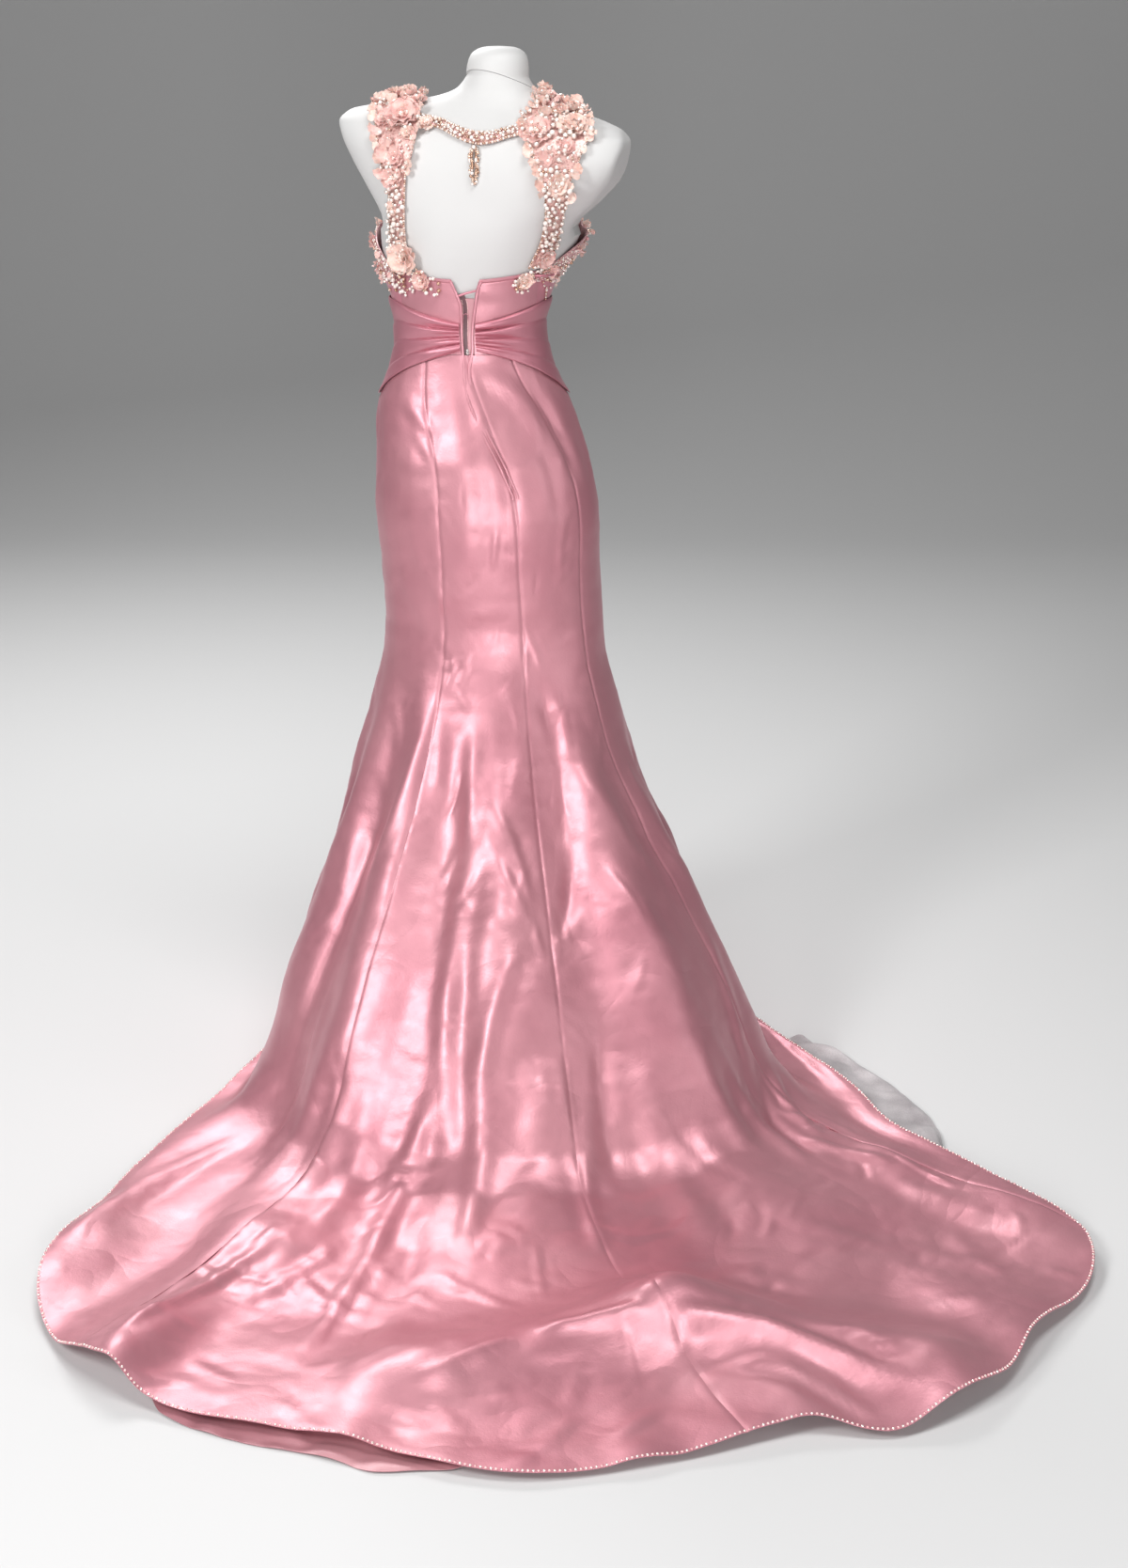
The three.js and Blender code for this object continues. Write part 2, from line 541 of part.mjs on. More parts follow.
const alongFold = ({ from, to }, level) =>
  smooth(level, from, from + 0.5) * (1 - smooth(level, to - 0.35, to));

function foldHeight(bearing, level) {
  let height = 0;
  for (const fold of FOLDS) {
    const middle = mix(fold.top, fold.hem, THREE.MathUtils.clamp((level - 1) / 2, 0, 1));
    const taper = level > 2 ? mix(1, 0.45, level - 2) : 1;
    height += fold.height * bell(wrap(bearing - middle), fold.width) * alongFold(fold, level) * taper;
  }
  return height;
}

function trainLift(point, bearing, level) {
  let lift = 0;
  for (const ridge of RIDGES) {
    const dx = ridge.x2 - ridge.x1;
    const dy = ridge.y2 - ridge.y1;
    const along = ((point.x - ridge.x1) * dx + (point.y - ridge.y1) * dy) / (dx * dx + dy * dy);
    const t = THREE.MathUtils.clamp(along, 0, 1);
    const away = Math.hypot(point.x - ridge.x1 - dx * t, point.y - ridge.y1 - dy * t);
    lift += ridge.height * bell(away, ridge.width);
  }
  for (const wave of HEM_WAVES) {
    lift += wave.height * bell(wrap(bearing - wave.bearing), wave.width) * smooth(level, 2.45, 3);
  }
  return lift * smooth(level, 2, 2.3);
}

// The satin's outer surface, moved in by a depth.
function skirt(bearing, level, depth) {
  const point = skirtBase(bearing, level);
  const normal = skirtNormal(bearing, level);
  const lift = trainLift(point, bearing, level);
  point.addScaledVector(normal, foldHeight(bearing, level) - depth);
  point.z = Math.max(point.z + lift, CLOTH - depth);
  return point;
}

function seamBearing(name, level) {
  return FRONT_SEAMS[name] ?? read(SEAMS, 'level', level, name);
}

// Bearing moved by a distance along the cloth.
function moved(bearing, level, distance) {
  const perDegree = skirtBase(bearing + 0.5, level).distanceTo(skirtBase(bearing - 0.5, level));
  return bearing + distance / perDegree;
}

function gore({ from, to, columns }) {
  const grid = (depth) => SKIRT_LEVELS.map((level) => {
    const start = moved(seamBearing(from, level) - (from === 'left' ? 360 : 0), level, SEAM_GAP / 2);
    const end = moved(seamBearing(to, level), level, -SEAM_GAP / 2);
    return Array.from({ length: columns }, (_, c) => skirt(mix(start, end, c / (columns - 1)), level, depth));
  });
  return wall(grid(0), grid(CLOTH));
}

// Bodice
const bodiceTop = (bearing) => read(BODICE_TOP, 'bearing', wrap(bearing), 'z');
const BODICE_RADIUS = 105;    // mean, for turning a seam gap into degrees
const turnPerMm = 360 / (2 * Math.PI * BODICE_RADIUS);
const BACK_TOP_Z = 1235;

function bodicePanel({ from, to, columns }) {
  const bottom = WAIST_Z + SEAM_GAP;
  const edge = (value, z, side) => (typeof value === 'string'
    ? read(OPENING, 'z', z, value) : value + side * SEAM_GAP / 2 * turnPerMm);
  const place = (r, c, out) => {
    const share = r / (BODICE_ROWS - 1);
    const roughZ = mix(bottom, BACK_TOP_Z, share);
    const bearing = mix(edge(from, roughZ, 1), edge(to, roughZ, -1), c / (columns - 1));
    return figure(bearing, mix(bottom, bodiceTop(bearing), share), out);
  };
  const grid = (out) => Array.from({ length: BODICE_ROWS }, (_, r) =>
    Array.from({ length: columns }, (_, c) => place(r, c, out)));
  return wall(grid(0), grid(-CLOTH));
}

// Sash
function sashPart({ from, to, columns }) {
  const seam = SEAM_GAP / 2 * turnPerMm;
  const place = (r, c, out, relief) => {
    const share = r / (SASH_ROWS - 1);
    const bearing = mix(from + seam, to - seam, c / (columns - 1));
    const around = Math.abs(wrap(bearing));
    const row = (column) => read(SASH, 'bearing', around, column);
    const rise = relief * row('bulge') * Math.sin(Math.PI * (share * SASH_PLEATS % 1)) ** 2;
    return figure(bearing, mix(row('bottom'), row('top'), share), out + rise);
  };
  const grid = (out, relief) => Array.from({ length: SASH_ROWS }, (_, r) =>
    Array.from({ length: columns }, (_, c) => place(r, c, out, relief)));
  return wall(grid(SASH_LIFT + SASH_WALL, 1), grid(SASH_LIFT, 0));
}

// Placket, zip and hook: narrow bands on the figure's surface
const mmPerDegree = (z) => 2 * Math.PI * read(FIGURE, 'z', z, 'back') * 1.25 / 360;

function band({ heights, middle, width, base, thick, columns = 3 }) {
  const grid = (out) => heights.map((z) => Array.from({ length: columns }, (_, c) => {
    const half = width(z) / 2 / mmPerDegree(z);
    return figure(middle(z) + mix(-half, half, c / (columns - 1)), z, out);
  }));
  return wall(grid(base + thick), grid(base));
}

const heightsBetween = (low, high, steps) =>
  Array.from({ length: steps + 1 }, (_, i) => mix(low, high, i / steps));
const skirtHeights = SKIRT_LEVELS
  .filter((level) => level <= 0.5)
  .map((level) => mix(WAIST_Z, KNEE_Z, level))
  .reverse();

function placket(side) {
  return band({
    heights: [...skirtHeights, ...heightsBetween(WAIST_Z + 18, PLACKET_TOP, 5)],
    middle: (z) => read(PLACKET, 'z', z, side),
    width: () => PLACKET_WIDTH,
    base: LAYER_GAP,
    thick: PLACKET_WALL,
  });
}

function zipTape() {
  const left = (z) => read(OPENING, 'z', z, 'left') + ZIP_GAP / mmPerDegree(z);
  const right = (z) => read(OPENING, 'z', z, 'right') - SEAM_GAP / mmPerDegree(z);
  return band({
    heights: heightsBetween(WAIST_Z + SEAM_GAP, ZIP_TOP, 4),
    middle: (z) => (left(z) + right(z)) / 2,
    width: (z) => (right(z) - left(z)) * mmPerDegree(z),
    base: -CLOTH,
    thick: CLOTH - 0.4,
  });
}

function slider() {
  return band({
    heights: [SLIDER.z - SLIDER.height / 2, SLIDER.z, SLIDER.z + SLIDER.height / 2],
    middle: () => SLIDER.bearing,
    width: () => SLIDER.width,
    base: LAYER_GAP,
    thick: SLIDER.thick,
  });
}

// The hook's tab bridges the open top of the back from one bound edge to the other.
function hook() {
  const left = (z) => read(PLACKET, 'z', z, 'left');
  const right = (z) => read(PLACKET, 'z', z, 'right');
  return band({
    heights: [HOOK.z - HOOK.height / 2, HOOK.z, HOOK.z + HOOK.height / 2],
    middle: (z) => (left(z) + right(z)) / 2,
    width: (z) => (right(z) - left(z)) * mmPerDegree(z) - PLACKET_WIDTH - 2 * SEAM_GAP,
    base: LAYER_GAP,
    thick: HOOK.thick,
    columns: 5,
  });
}

// What lies on the form: rays from its middle find the surface
const caster = new THREE.Raycaster();
const carriers = [];
function hitFrom(origin, direction, meshes) {
  caster.set(origin, direction);
  const hits = caster.intersectObjects(meshes, false);
  return hits.length ? hits[hits.length - 1].point : null;
}

function onForm({ x, z, turn }, meshes = [carriers[0]]) {
  const row = (column) => read(FIGURE, 'z', z, column);
  const middle = row('y') + (x - row('x')) * Math.tan(rad(row('turn')));
  const direction = new THREE.Vector3(0, -Math.cos(rad(turn)), Math.sin(rad(turn)));
  return hitFrom(new THREE.Vector3(x, middle, z), direction, meshes);
}

// Moves each point of a grid out along the grid's own normal.
function offsetGrid(grid, distance) {
  const inside = (i, count) => THREE.MathUtils.clamp(i, 0, count - 1);
  const pick = (r, c) => grid[inside(r, grid.length)][inside(c, grid[0].length)];
  return grid.map((row, r) => row.map((point, c) => {
    const along = pick(r + 1, c).clone().sub(pick(r - 1, c));
    const across = pick(r, c + 1).clone().sub(pick(r, c - 1));
    const normal = across.cross(along).normalize();
    return point.clone().addScaledVector(normal, distance);
  }));
}

function bandOnForm({ rows, columns, steps, upright }) {
  const places = Array.from({ length: (rows.length - 1) * steps + 1 }, (_, i) => i / steps);
  const table = rows.map((row, i) => ({ turn: 0, ...row, i }));
  const grid = places.map((i) => Array.from({ length: columns }, (_, c) => {
    const half = read(table, 'i', i, 'half');
    const away = mix(-half, half, c / (columns - 1));
    return onForm({
      x: read(table, 'i', i, 'x') + (upright ? 0 : away),
      z: read(table, 'i', i, 'z') - (upright ? away : 0),
      turn: read(table, 'i', i, 'turn'),
    });
  }));
  return wall(offsetGrid(grid, FORM_GAP + STRAP_WALL), offsetGrid(grid, FORM_GAP));
}

// A raised flower on a flat back: overlapping petals around a bud.
const FLOWER_FOOT = 0.86;
const FLOWER_ROWS = [
  { share: FLOWER_FOOT, rise: 0, shift: 0 },
  { share: 1, rise: 0.1, shift: 0 },
  { share: 1.02, rise: 0.62, shift: 0 },
  { share: 0.68, rise: 0.5, shift: 0.5 },
  { share: 0.42, rise: 0.95, shift: 0.5 },
];
const FLOWER_BUD = 0.8;
const SHOULDER_MM_PER_DEGREE = 1.6;
function flowerGeometry({ radius, petals }) {
  const around = petals * 3;
  const height = radius * FLOWER_HEIGHT;
  const rings = FLOWER_ROWS.map(({ share, rise, shift }) => Array.from({ length: around }, (_, i) => {
    const turn = 2 * Math.PI * i / around;
    const petal = Math.abs(Math.cos(petals * (turn + shift) / 2));
    const reach = radius * share * mix(0.8, 1, petal);
    const up = height * rise * mix(0.7, 1, petal);
    return new THREE.Vector3(reach * Math.cos(turn), reach * Math.sin(turn), up);
  }));
  return loft(rings, new THREE.Vector3(), new THREE.Vector3(0, 0, height * FLOWER_BUD));
}

// Stands a flower on whatever lies under it, as low as its flat back can go.
function seatFlower({ x, z, turn, radius }) {
  const reach = radius / 2;
  const under = (dx, dz) => onForm(turn > 0
    ? { x: x + dx, z, turn: turn + dz / SHOULDER_MM_PER_DEGREE }
    : { x: x + dx, z: z + dz, turn }, carriers);
  const centre = under(0, 0);
  const across = under(reach, 0).sub(under(-reach, 0));
  const along = under(0, reach).sub(under(0, -reach));
  const normal = across.cross(along).normalize();
  let lift = 0;
  for (let i = 0; i < 24; i += 1) {
    for (const share of [0.3, 0.6, FLOWER_FOOT]) {
      const angle = 2 * Math.PI * i / 24;
      const point = under(radius * share * Math.cos(angle), radius * share * Math.sin(angle));
      if (point) lift = Math.max(lift, point.sub(centre).dot(normal));
    }
  }
  return { position: centre.addScaledVector(normal, lift + LAYER_GAP), normal };
}

function pendant() {
  const rows = [...PENDANT_ROWS].reverse();
  const centres = rows.map(({ share, radius }) => {
    const z = PENDANT.top - share * PENDANT.length;
    const back = onForm({ x: PENDANT.x, z, turn: 0 });
    return back.add(new THREE.Vector3(0, -radius * PENDANT.radius * PENDANT.flat - FORM_GAP, 0));
  });
  const rings = centres.map((centre, r) => Array.from({ length: 8 }, (_, i) => {
    const angle = Math.PI * i / 4;
    const offset = new THREE.Vector3(Math.cos(angle), Math.sin(angle) * PENDANT.flat, 0);
    return centre.clone().addScaledVector(offset, rows[r].radius * PENDANT.radius);
  }));
  return loft(rings, centres[0], centres[centres.length - 1]);
}

// Strips that show beyond the satin's hem: from under its lifted edge out onto the floor
function hemStrip({ from, to, columns, waves, ripple }, outerReach) {
  const rows = [0, 0.3, 0.55, 0.8, 1];
  const place = (bearing, share, depth) => {
    const under = skirt(bearing, HEM_STRIP_LEVEL, CLOTH + HEM_STRIP_GAP);
    const out = new THREE.Vector3(Math.sin(rad(bearing)), -Math.cos(rad(bearing)), 0);
    const edge = out.multiplyScalar(outerReach(bearing));
    const point = under.clone().lerp(edge, share);
    const wave = (0.5 + 0.5 * Math.sin(waves * rad(bearing))) * smooth(share, 0.5, 1);
    const laid = mix(under.z, NET, smooth(share, 0, 0.7));
    point.z = Math.max(laid + ripple * wave, NET) - depth;
    return point;
  };
  const grid = (depth) => rows.map((share) => Array.from({ length: columns }, (_, c) =>
    place(mix(from, to, c / (columns - 1)), share, depth)));
  return wall(grid(0), grid(NET));
}

const torso = add('form_torso', formTorso(), COLOURS.form, 0.7);
torso.material.side = THREE.DoubleSide;
carriers.push(torso);
add('form_neck_cap', neckCap(), COLOURS.form, 0.7);
add('stand_pole', lathe([
  [0, STAND.base_height + SEAM_GAP],
  [STAND.pole_radius, STAND.base_height + SEAM_GAP],
  [STAND.pole_radius, FORM_BOTTOM_Z - SEAM_GAP],
  [0, FORM_BOTTOM_Z - SEAM_GAP],
], 20), COLOURS.metal, 0.4, 0.8);
add('stand_base', lathe([
  [0, 0],
  [STAND.base_radius, 0],
  [STAND.base_radius, STAND.base_edge],
  [STAND.base_radius * 0.6, STAND.base_height],
  [0, STAND.base_height],
], 32), COLOURS.metal, 0.4, 0.8);

for (const row of GORES) add(row.name, gore(row), COLOURS.satin, 0.35);
for (const row of BODICE) carriers.push(add(row.name, bodicePanel(row), COLOURS.satin, 0.4));
for (const row of SASH_PARTS) carriers.push(add(row.name, sashPart(row), COLOURS.satin, 0.35));

add('placket_left', placket('left'), COLOURS.satin, 0.35);
add('placket_right', placket('right'), COLOURS.satin, 0.35);
add('zip_tape', zipTape(), COLOURS.satin, 0.6);
add('zip_slider', slider(), COLOURS.metal, 0.4, 0.8);
add('hook', hook(), COLOURS.beads, 0.4, 0.4);

const bands = [
  { name: 'strap_left', rows: STRAP_LEFT, columns: 5, steps: 2, colour: COLOURS.applique },
  { name: 'strap_right', rows: STRAP_RIGHT, columns: 6, steps: 2, colour: COLOURS.applique },
  { name: 'neck_bridge', rows: BRIDGE, columns: 3, steps: 1, colour: COLOURS.beads, upright: true },
];
for (const row of bands) carriers.push(add(row.name, bandOnForm(row), row.colour));
add('pendant', pendant(), COLOURS.beads, 0.3, 0.2);
for (const mesh of carriers) mesh.material.side = THREE.DoubleSide;

for (const row of FLOWERS) {
  const flower = add(row.name, flowerGeometry(row), COLOURS.applique, 0.6);
  const seat = seatFlower(row);
  flower.position.copy(seat.position);
  flower.quaternion.setFromUnitVectors(new THREE.Vector3(0, 0, 1), seat.normal);
}

add('hem_lining', hemStrip({ ...HEM_LINING, waves: 30, ripple: 3 }, (bearing) =>
  read(LINING_EDGE, 'bearing', bearing, 'outer')), COLOURS.lining, 0.7);
add('petticoat_net', hemStrip({ ...NET_SHEET, waves: 60, ripple: 7 }, (bearing) =>
  read(NET_EDGE, 'bearing', bearing, 'outer')), COLOURS.net, 0.8);

export default part;
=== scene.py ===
"""Looks of an evening gown with a train, standing on a limbless dress form.

The frame is +Z up with its origin on the floor under the form. The gown's back and train face -Y
and the wearer's right is +X. Bearings run from -Y (0) towards +X (90), in degrees. Tables and
helper functions are in millimetres, and meshes are made in metres.
"""
import math
from types import SimpleNamespace

import bpy
import numpy as np
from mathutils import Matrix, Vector
from mathutils.bvhtree import BVHTree


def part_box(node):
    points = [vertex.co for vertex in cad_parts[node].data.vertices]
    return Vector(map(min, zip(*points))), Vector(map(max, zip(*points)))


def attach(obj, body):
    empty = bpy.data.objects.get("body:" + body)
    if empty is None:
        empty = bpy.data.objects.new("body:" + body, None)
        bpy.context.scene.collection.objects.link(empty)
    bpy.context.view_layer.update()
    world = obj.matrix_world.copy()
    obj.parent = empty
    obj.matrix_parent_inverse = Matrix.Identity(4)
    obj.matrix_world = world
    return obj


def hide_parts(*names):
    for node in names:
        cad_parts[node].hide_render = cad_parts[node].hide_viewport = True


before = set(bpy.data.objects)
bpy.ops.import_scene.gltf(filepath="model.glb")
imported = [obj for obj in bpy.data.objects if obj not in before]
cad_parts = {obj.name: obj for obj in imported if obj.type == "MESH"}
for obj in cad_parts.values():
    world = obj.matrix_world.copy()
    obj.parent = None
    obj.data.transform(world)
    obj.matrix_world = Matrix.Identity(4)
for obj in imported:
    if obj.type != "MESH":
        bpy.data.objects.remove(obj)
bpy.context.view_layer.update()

MM = 0.001

# Camera: it stands behind the gown and looks along +Y, pitched down.
CAMERA = SimpleNamespace(x=0.114, y=-3.5, z=1.65, pitch=19.2, lens=53.48, side=36)


def make_camera():
    data = bpy.data.cameras.new("camera")
    data.sensor_fit = "VERTICAL"
    data.sensor_height = CAMERA.side
    data.lens = CAMERA.lens
    data.clip_end = 50
    camera = bpy.data.objects.new("camera", data)
    camera.location = (CAMERA.x, CAMERA.y, CAMERA.z)
    camera.rotation_euler = (math.radians(90 - CAMERA.pitch), 0, 0)
    bpy.context.scene.collection.objects.link(camera)
    bpy.context.scene.camera = camera


make_camera()


# Short tables, read smoothly between their rows

def table(columns, *rows):
    """The named columns of a short table, as arrays."""
    values = np.array(rows, float)
    return {name: values[:, i] for i, name in enumerate(columns.split())}


def records(columns, *rows):
    """The rows of a short table that also holds words, each with its columns by name."""
    return [SimpleNamespace(**dict(zip(columns.split(), row))) for row in rows]


def rows_of(rows):
    """The rows of a table of numbers, each with its columns by name."""
    return records(" ".join(rows), *zip(*rows.values()))


def read(rows, key, at, column):
    """One column at any key, with slopes taken from the neighbouring rows."""
    x = rows[key]
    y = rows[column]
    at = np.clip(np.asarray(at, float), x[0], x[-1])
    i = np.clip(np.searchsorted(x, at, side="left") - 1, 0, len(x) - 2)
    step = np.diff(x)
    rise = np.diff(y) / step
    before = np.concatenate([rise[:1], rise[:-1]])
    after = np.concatenate([rise[1:], rise[-1:]])

    def slope(other):
        same = other * rise > 0
        total = np.where(same, other + rise, 1)
        return np.where(same, 2 * other * rise / total, 0)

    slope_in = slope(before)[i] * step[i]
    slope_out = slope(after)[i] * step[i]
    t = (at - x[i]) / step[i]
    value = y[i] * (2 * t**3 - 3 * t**2 + 1) + y[i + 1] * (3 * t**2 - 2 * t**3)
    return value + slope_in * (t**3 - 2 * t**2 + t) + slope_out * (t**3 - t**2)


def mix(a, b, t):
    """From a to b, by a share of the way."""
    return a + (b - a) * t


def bell(distance, width):
    """1 at no distance, and falling off smoothly on both sides."""
    return np.exp(-0.5 * (distance / width) ** 2)


def smooth(value, low, high):
    """0 up to a low value, 1 from a high one, and a smooth change between."""
    t = np.clip((np.asarray(value, float) - low) / (high - low), 0, 1)
    return t * t * (3 - 2 * t)


def wrap(bearing):
    """A bearing brought between -180 and 180."""
    return (np.asarray(bearing, float) + 180) % 360 - 180


def soft_limit(value, limit, edge):
    """Keeps a value within plus or minus a limit, with a rounded corner."""
    size = np.abs(value)
    over = np.clip((size - limit + edge) / (2 * edge), 0, 1)
    held = np.minimum(size, limit + edge) - edge * over**2
    return np.sign(value) * held


def unit(vectors):
    return vectors / np.maximum(np.linalg.norm(vectors, axis=-1, keepdims=True), 1e-9)


def waves(points, size, seed, count=14):
    """Smooth uneven relief from sine waves in seeded directions, about -1 to 1."""
    rng = np.random.default_rng(seed)
    total = np.zeros(points.shape[:-1])
    for _ in range(count):
        direction = unit(rng.normal(size=3))
        length = size * rng.uniform(0.7, 1.6)
        total += np.sin(points @ direction * (2 * math.pi / length) + rng.uniform(0, 2 * math.pi))
    return total / math.sqrt(count)


# The figure that the gown and the form follow, in millimetres

WAIST_Z = 1122
KNEE_Z = 716
FORM_BOTTOM_Z = 800
CAP_EDGE = 7
FIGURE = table(
    "z x y half back front power cap turn tilt",
    (716, 6, -8, 166, 122, 112, 2.1, 300, 0, 0),
    (800, 2, -6, 166, 128, 110, 2.1, 300, 0, 0),
    (880, -2, -5, 169, 130, 112, 2.15, 300, 0, 0),
    (960, -9, -2, 160, 122, 108, 2.15, 300, 0, 0),
    (1010, -16, 0, 150, 108, 103, 2.1, 300, 0, 0),
    (1045, -20, 2, 142, 98, 98, 2.1, 300, 0, 0),
    (1080, -23, 3, 127, 89, 91, 2.1, 300, 0, 0),
    (1120, -24, 4, 114, 83, 84, 2.1, 300, 0, 0),
    (1155, -26, 4, 110, 81, 82, 2.1, 300, 0, 0),
    (1190, -25, 4, 116, 84, 86, 2.1, 300, 0, 0),
    (1225, -24, 4, 123, 88, 93, 2.15, 300, -2, 0),
    (1262, -18, 4, 132, 93, 100, 2.2, 300, -5, 0.5),
    (1302, -10, 4, 147, 97, 98, 2.25, 142, -9, 1.5),
    (1346, 0, 5, 184, 98, 90, 2.4, 171, -13, 2.6),
    (1380, 3, 6, 210, 96, 84, 2.5, 196, -15, 3.2),
    (1412, 0, 8, 226, 87, 76, 2.5, 211, -16, 3.4),
    (1434, -2, 10, 228, 75, 66, 2.4, 218, -16, 3.4),
    (1449, -1, 12, 209, 64, 58, 2.2, 212, -16, 3.4),
    (1460, 4, 14, 172, 56, 51, 2.1, 214, -16, 3.2),
    (1469, 8, 16, 126, 51, 47, 2, 214, -16, 2.6),
    (1480, 13, 19, 85, 48, 45, 2, 214, -16, 1.6),
    (1492, 16, 22, 61, 47, 44, 2, 214, -16, 0.8),
    (1512, 18, 27, 46, 47, 43, 2, 214, -16, 0),
)
FORM_INSET = table("z inset", (800, 6), (1060, 6), (1110, 3.8), (1225, 3.6), (1262, 2.8))
BUST = SimpleNamespace(bearing=50, z=1270, lift=26, side=1.5, across=26, along=34)
FORM_BUST = 0.7


def figure(bearing, z, out=0.0, bust_share=1.0):
    """Points of the clothed figure's surface at a height, moved out by a distance."""
    bearing, z, out = np.broadcast_arrays(bearing, z, out)

    def row(column):
        return read(FIGURE, "z", z, column)

    s = np.sin(np.radians(bearing))
    c = np.cos(np.radians(bearing))
    power = 2 / row("power")
    around = np.abs(wrap(bearing))
    cup = bell(around - (180 - BUST.bearing), BUST.across) * bell(z - BUST.z, BUST.along)
    bust = bust_share * BUST.lift * cup
    depth = np.where(c > 0, row("back"), row("front") + bust) + out
    across = np.sign(s) * np.abs(s) ** power * (row("half") + out + bust * BUST.side)
    x = soft_limit(across, row("cap") + out, CAP_EDGE)
    y = -np.sign(c) * np.abs(c) ** power * depth
    turn = np.radians(row("turn"))
    turned = x * np.cos(turn) - y * np.sin(turn)
    sunk = turned * np.tan(np.radians(row("tilt")))
    return np.stack([row("x") + turned, row("y") + x * np.sin(turn) + y * np.cos(turn), z - sunk], -1)


# The skirt: waist seam at level 0, knee at 1, foot line at 2, hem at 3

FALL = table(
    "level z share",
    (1, 716, 0),
    (1.12, 664, 0.02),
    (1.24, 610, 0.062),
    (1.36, 547, 0.122),
    (1.48, 480, 0.205),
    (1.6, 404, 0.325),
    (1.7, 326, 0.465),
    (1.79, 246, 0.605),
    (1.87, 168, 0.73),
    (1.93, 106, 0.825),
    (1.98, 62, 0.905),
    (2.06, 31, 1.01),
    (2.2, 12, 1.17),
    (2.34, 4, 1.33),
    (2.48, 2, 1.48),
    (3, 2, 2),
)
PLAN = table(
    "bearing foot reach",
    (-180, 300, 318),
    (-150, 303, 322),
    (-120, 316, 336),
    (-90, 338, 352),
    (-76, 362, 392),
    (-64, 398, 462),
    (-56, 430, 545),
    (-50, 460, 645),
    (-43, 492, 795),
    (-38, 515, 945),
    (-33, 535, 1040),
    (-26, 560, 1112),
    (-18, 585, 1150),
    (-8, 605, 1165),
    (4, 620, 1222),
    (12, 628, 1208),
    (19, 632, 1196),
    (25, 632, 1248),
    (32, 625, 1226),
    (38, 612, 1172),
    (44, 590, 1150),
    (50, 562, 1085),
    (54, 545, 925),
    (60, 515, 700),
    (68, 480, 612),
    (78, 450, 520),
    (90, 425, 458),
    (120, 352, 372),
    (150, 312, 331),
    (180, 300, 318),
)
SEAMS = table(
    "level back_left centre_back back_right right left",
    (0, -34, -2, 30, 92, 268),
    (0.5, -22, 14, 54, 94, 266),
    (1, -24, 15, 54, 95, 264),
    (2, -25, 13, 53, 95, 264),
    (3, -26, 16, 51, 95, 264),
)
FRONT_SEAMS = {"front_right": 150, "front_left": 210}
FOLDS = table(
    "top hem width height start end",
    (-90, -66, 9, 15, 1, 2.1),
    (-62, -39, 8, 26, 1.1, 3.1),
    (-44, -33, 8, -20, 1.3, 3),
    (-31, -27, 6, 24, 1.1, 2.6),
    (-12, -12, 6, -14, 1.2, 2.4),
    (2, 0, 6, 14, 1.1, 2.5),
    (22, 22, 5, -16, 1.1, 2.3),
    (34, 36, 7, 18, 1.2, 2.7),
    (66, 54, 7, 20, 1.3, 2.7),
    (80, 76, 7, -16, 1.4, 2.9),
    (118, 118, 10, 14, 1.2, 3.1),
    (140, 140, 8, -12, 1.3, 3.1),
    (168, 170, 9, 13, 1.2, 3.1),
    (196, 194, 8, -12, 1.3, 3.1),
    (222, 224, 10, 14, 1.2, 3.1),
    (248, 250, 8, -12, 1.3, 3.1),
)
RIDGES = table(
    "x1 y1 x2 y2 width height",
    (-60, -1010, 250, -900, 55, 34),
    (250, -900, 560, -1020, 60, 42),
    (-300, -690, -470, -985, 45, 22),
    (600, -470, 760, -640, 40, 12),
)
HEM_WAVES = table(
    "bearing width height",
    (-37, 3.5, 26),
    (-24, 2.6, 22),
    (-13, 6, 16),
    (2, 5, 10),
    (17, 3.4, 20),
    (29, 3.2, 18),
    (38.5, 2.6, 24),
    (48, 4, 16),
    (66, 12, 13),
    (-22.8, 1.1, 17),
    (-7.2, 1.4, 9),
    (9.6, 1.3, 8),
    (20.4, 1.5, 10),
    (35.6, 1.6, 12),
)


def outward(bearing):
    """The level direction at a bearing."""
    angle = np.radians(bearing)
    return np.stack([np.sin(angle), -np.cos(angle), np.zeros_like(angle)], -1)


def skirt_base(bearing, level):
    """The skirt's plain form: the figure down to the knee, then a curve out to the hem."""
    bearing, level = np.broadcast_arrays(np.asarray(bearing, float), np.asarray(level, float))
    upper = figure(bearing, mix(WAIST_Z, KNEE_Z, np.minimum(level, 1)))
    share = read(FALL, "level", level, "share")[..., None]
    foot = read(PLAN, "bearing", wrap(bearing), "foot")[..., None]
    reach = read(PLAN, "bearing", wrap(bearing), "reach")[..., None]
    out = outward(bearing)
    near = mix(upper, out * foot, np.minimum(share, 1))
    far = out * mix(foot, reach, share - 1)
    lower = np.where(share <= 1, near, far)
    lower[..., 2] = read(FALL, "level", level, "z")
    return np.where(level[..., None] <= 1, upper, lower)


def skirt_normal(bearing, level):
    """The outward direction of the skirt's plain form."""
    side = skirt_base(bearing + 1, level) - skirt_base(bearing - 1, level)
    lower = skirt_base(bearing, np.minimum(level + 0.02, 3))
    upper = skirt_base(bearing, np.maximum(level - 0.02, 0))
    return unit(np.cross(lower - upper, side))


def fold_height(bearing, level):
    """How far the long folds stand out from the plain form."""
    height = np.zeros(np.broadcast(bearing, level).shape)
    taper = np.where(level > 2, mix(1, 0.45, level - 2), 1)
    for fold in rows_of(FOLDS):
        middle = mix(fold.top, fold.hem, np.clip((level - 1) / 2, 0, 1))
        along = smooth(level, fold.start, fold.start + 0.5) * (1 - smooth(level, fold.end - 0.35, fold.end))
        height += fold.height * bell(wrap(bearing - middle), fold.width) * along * taper
    return height


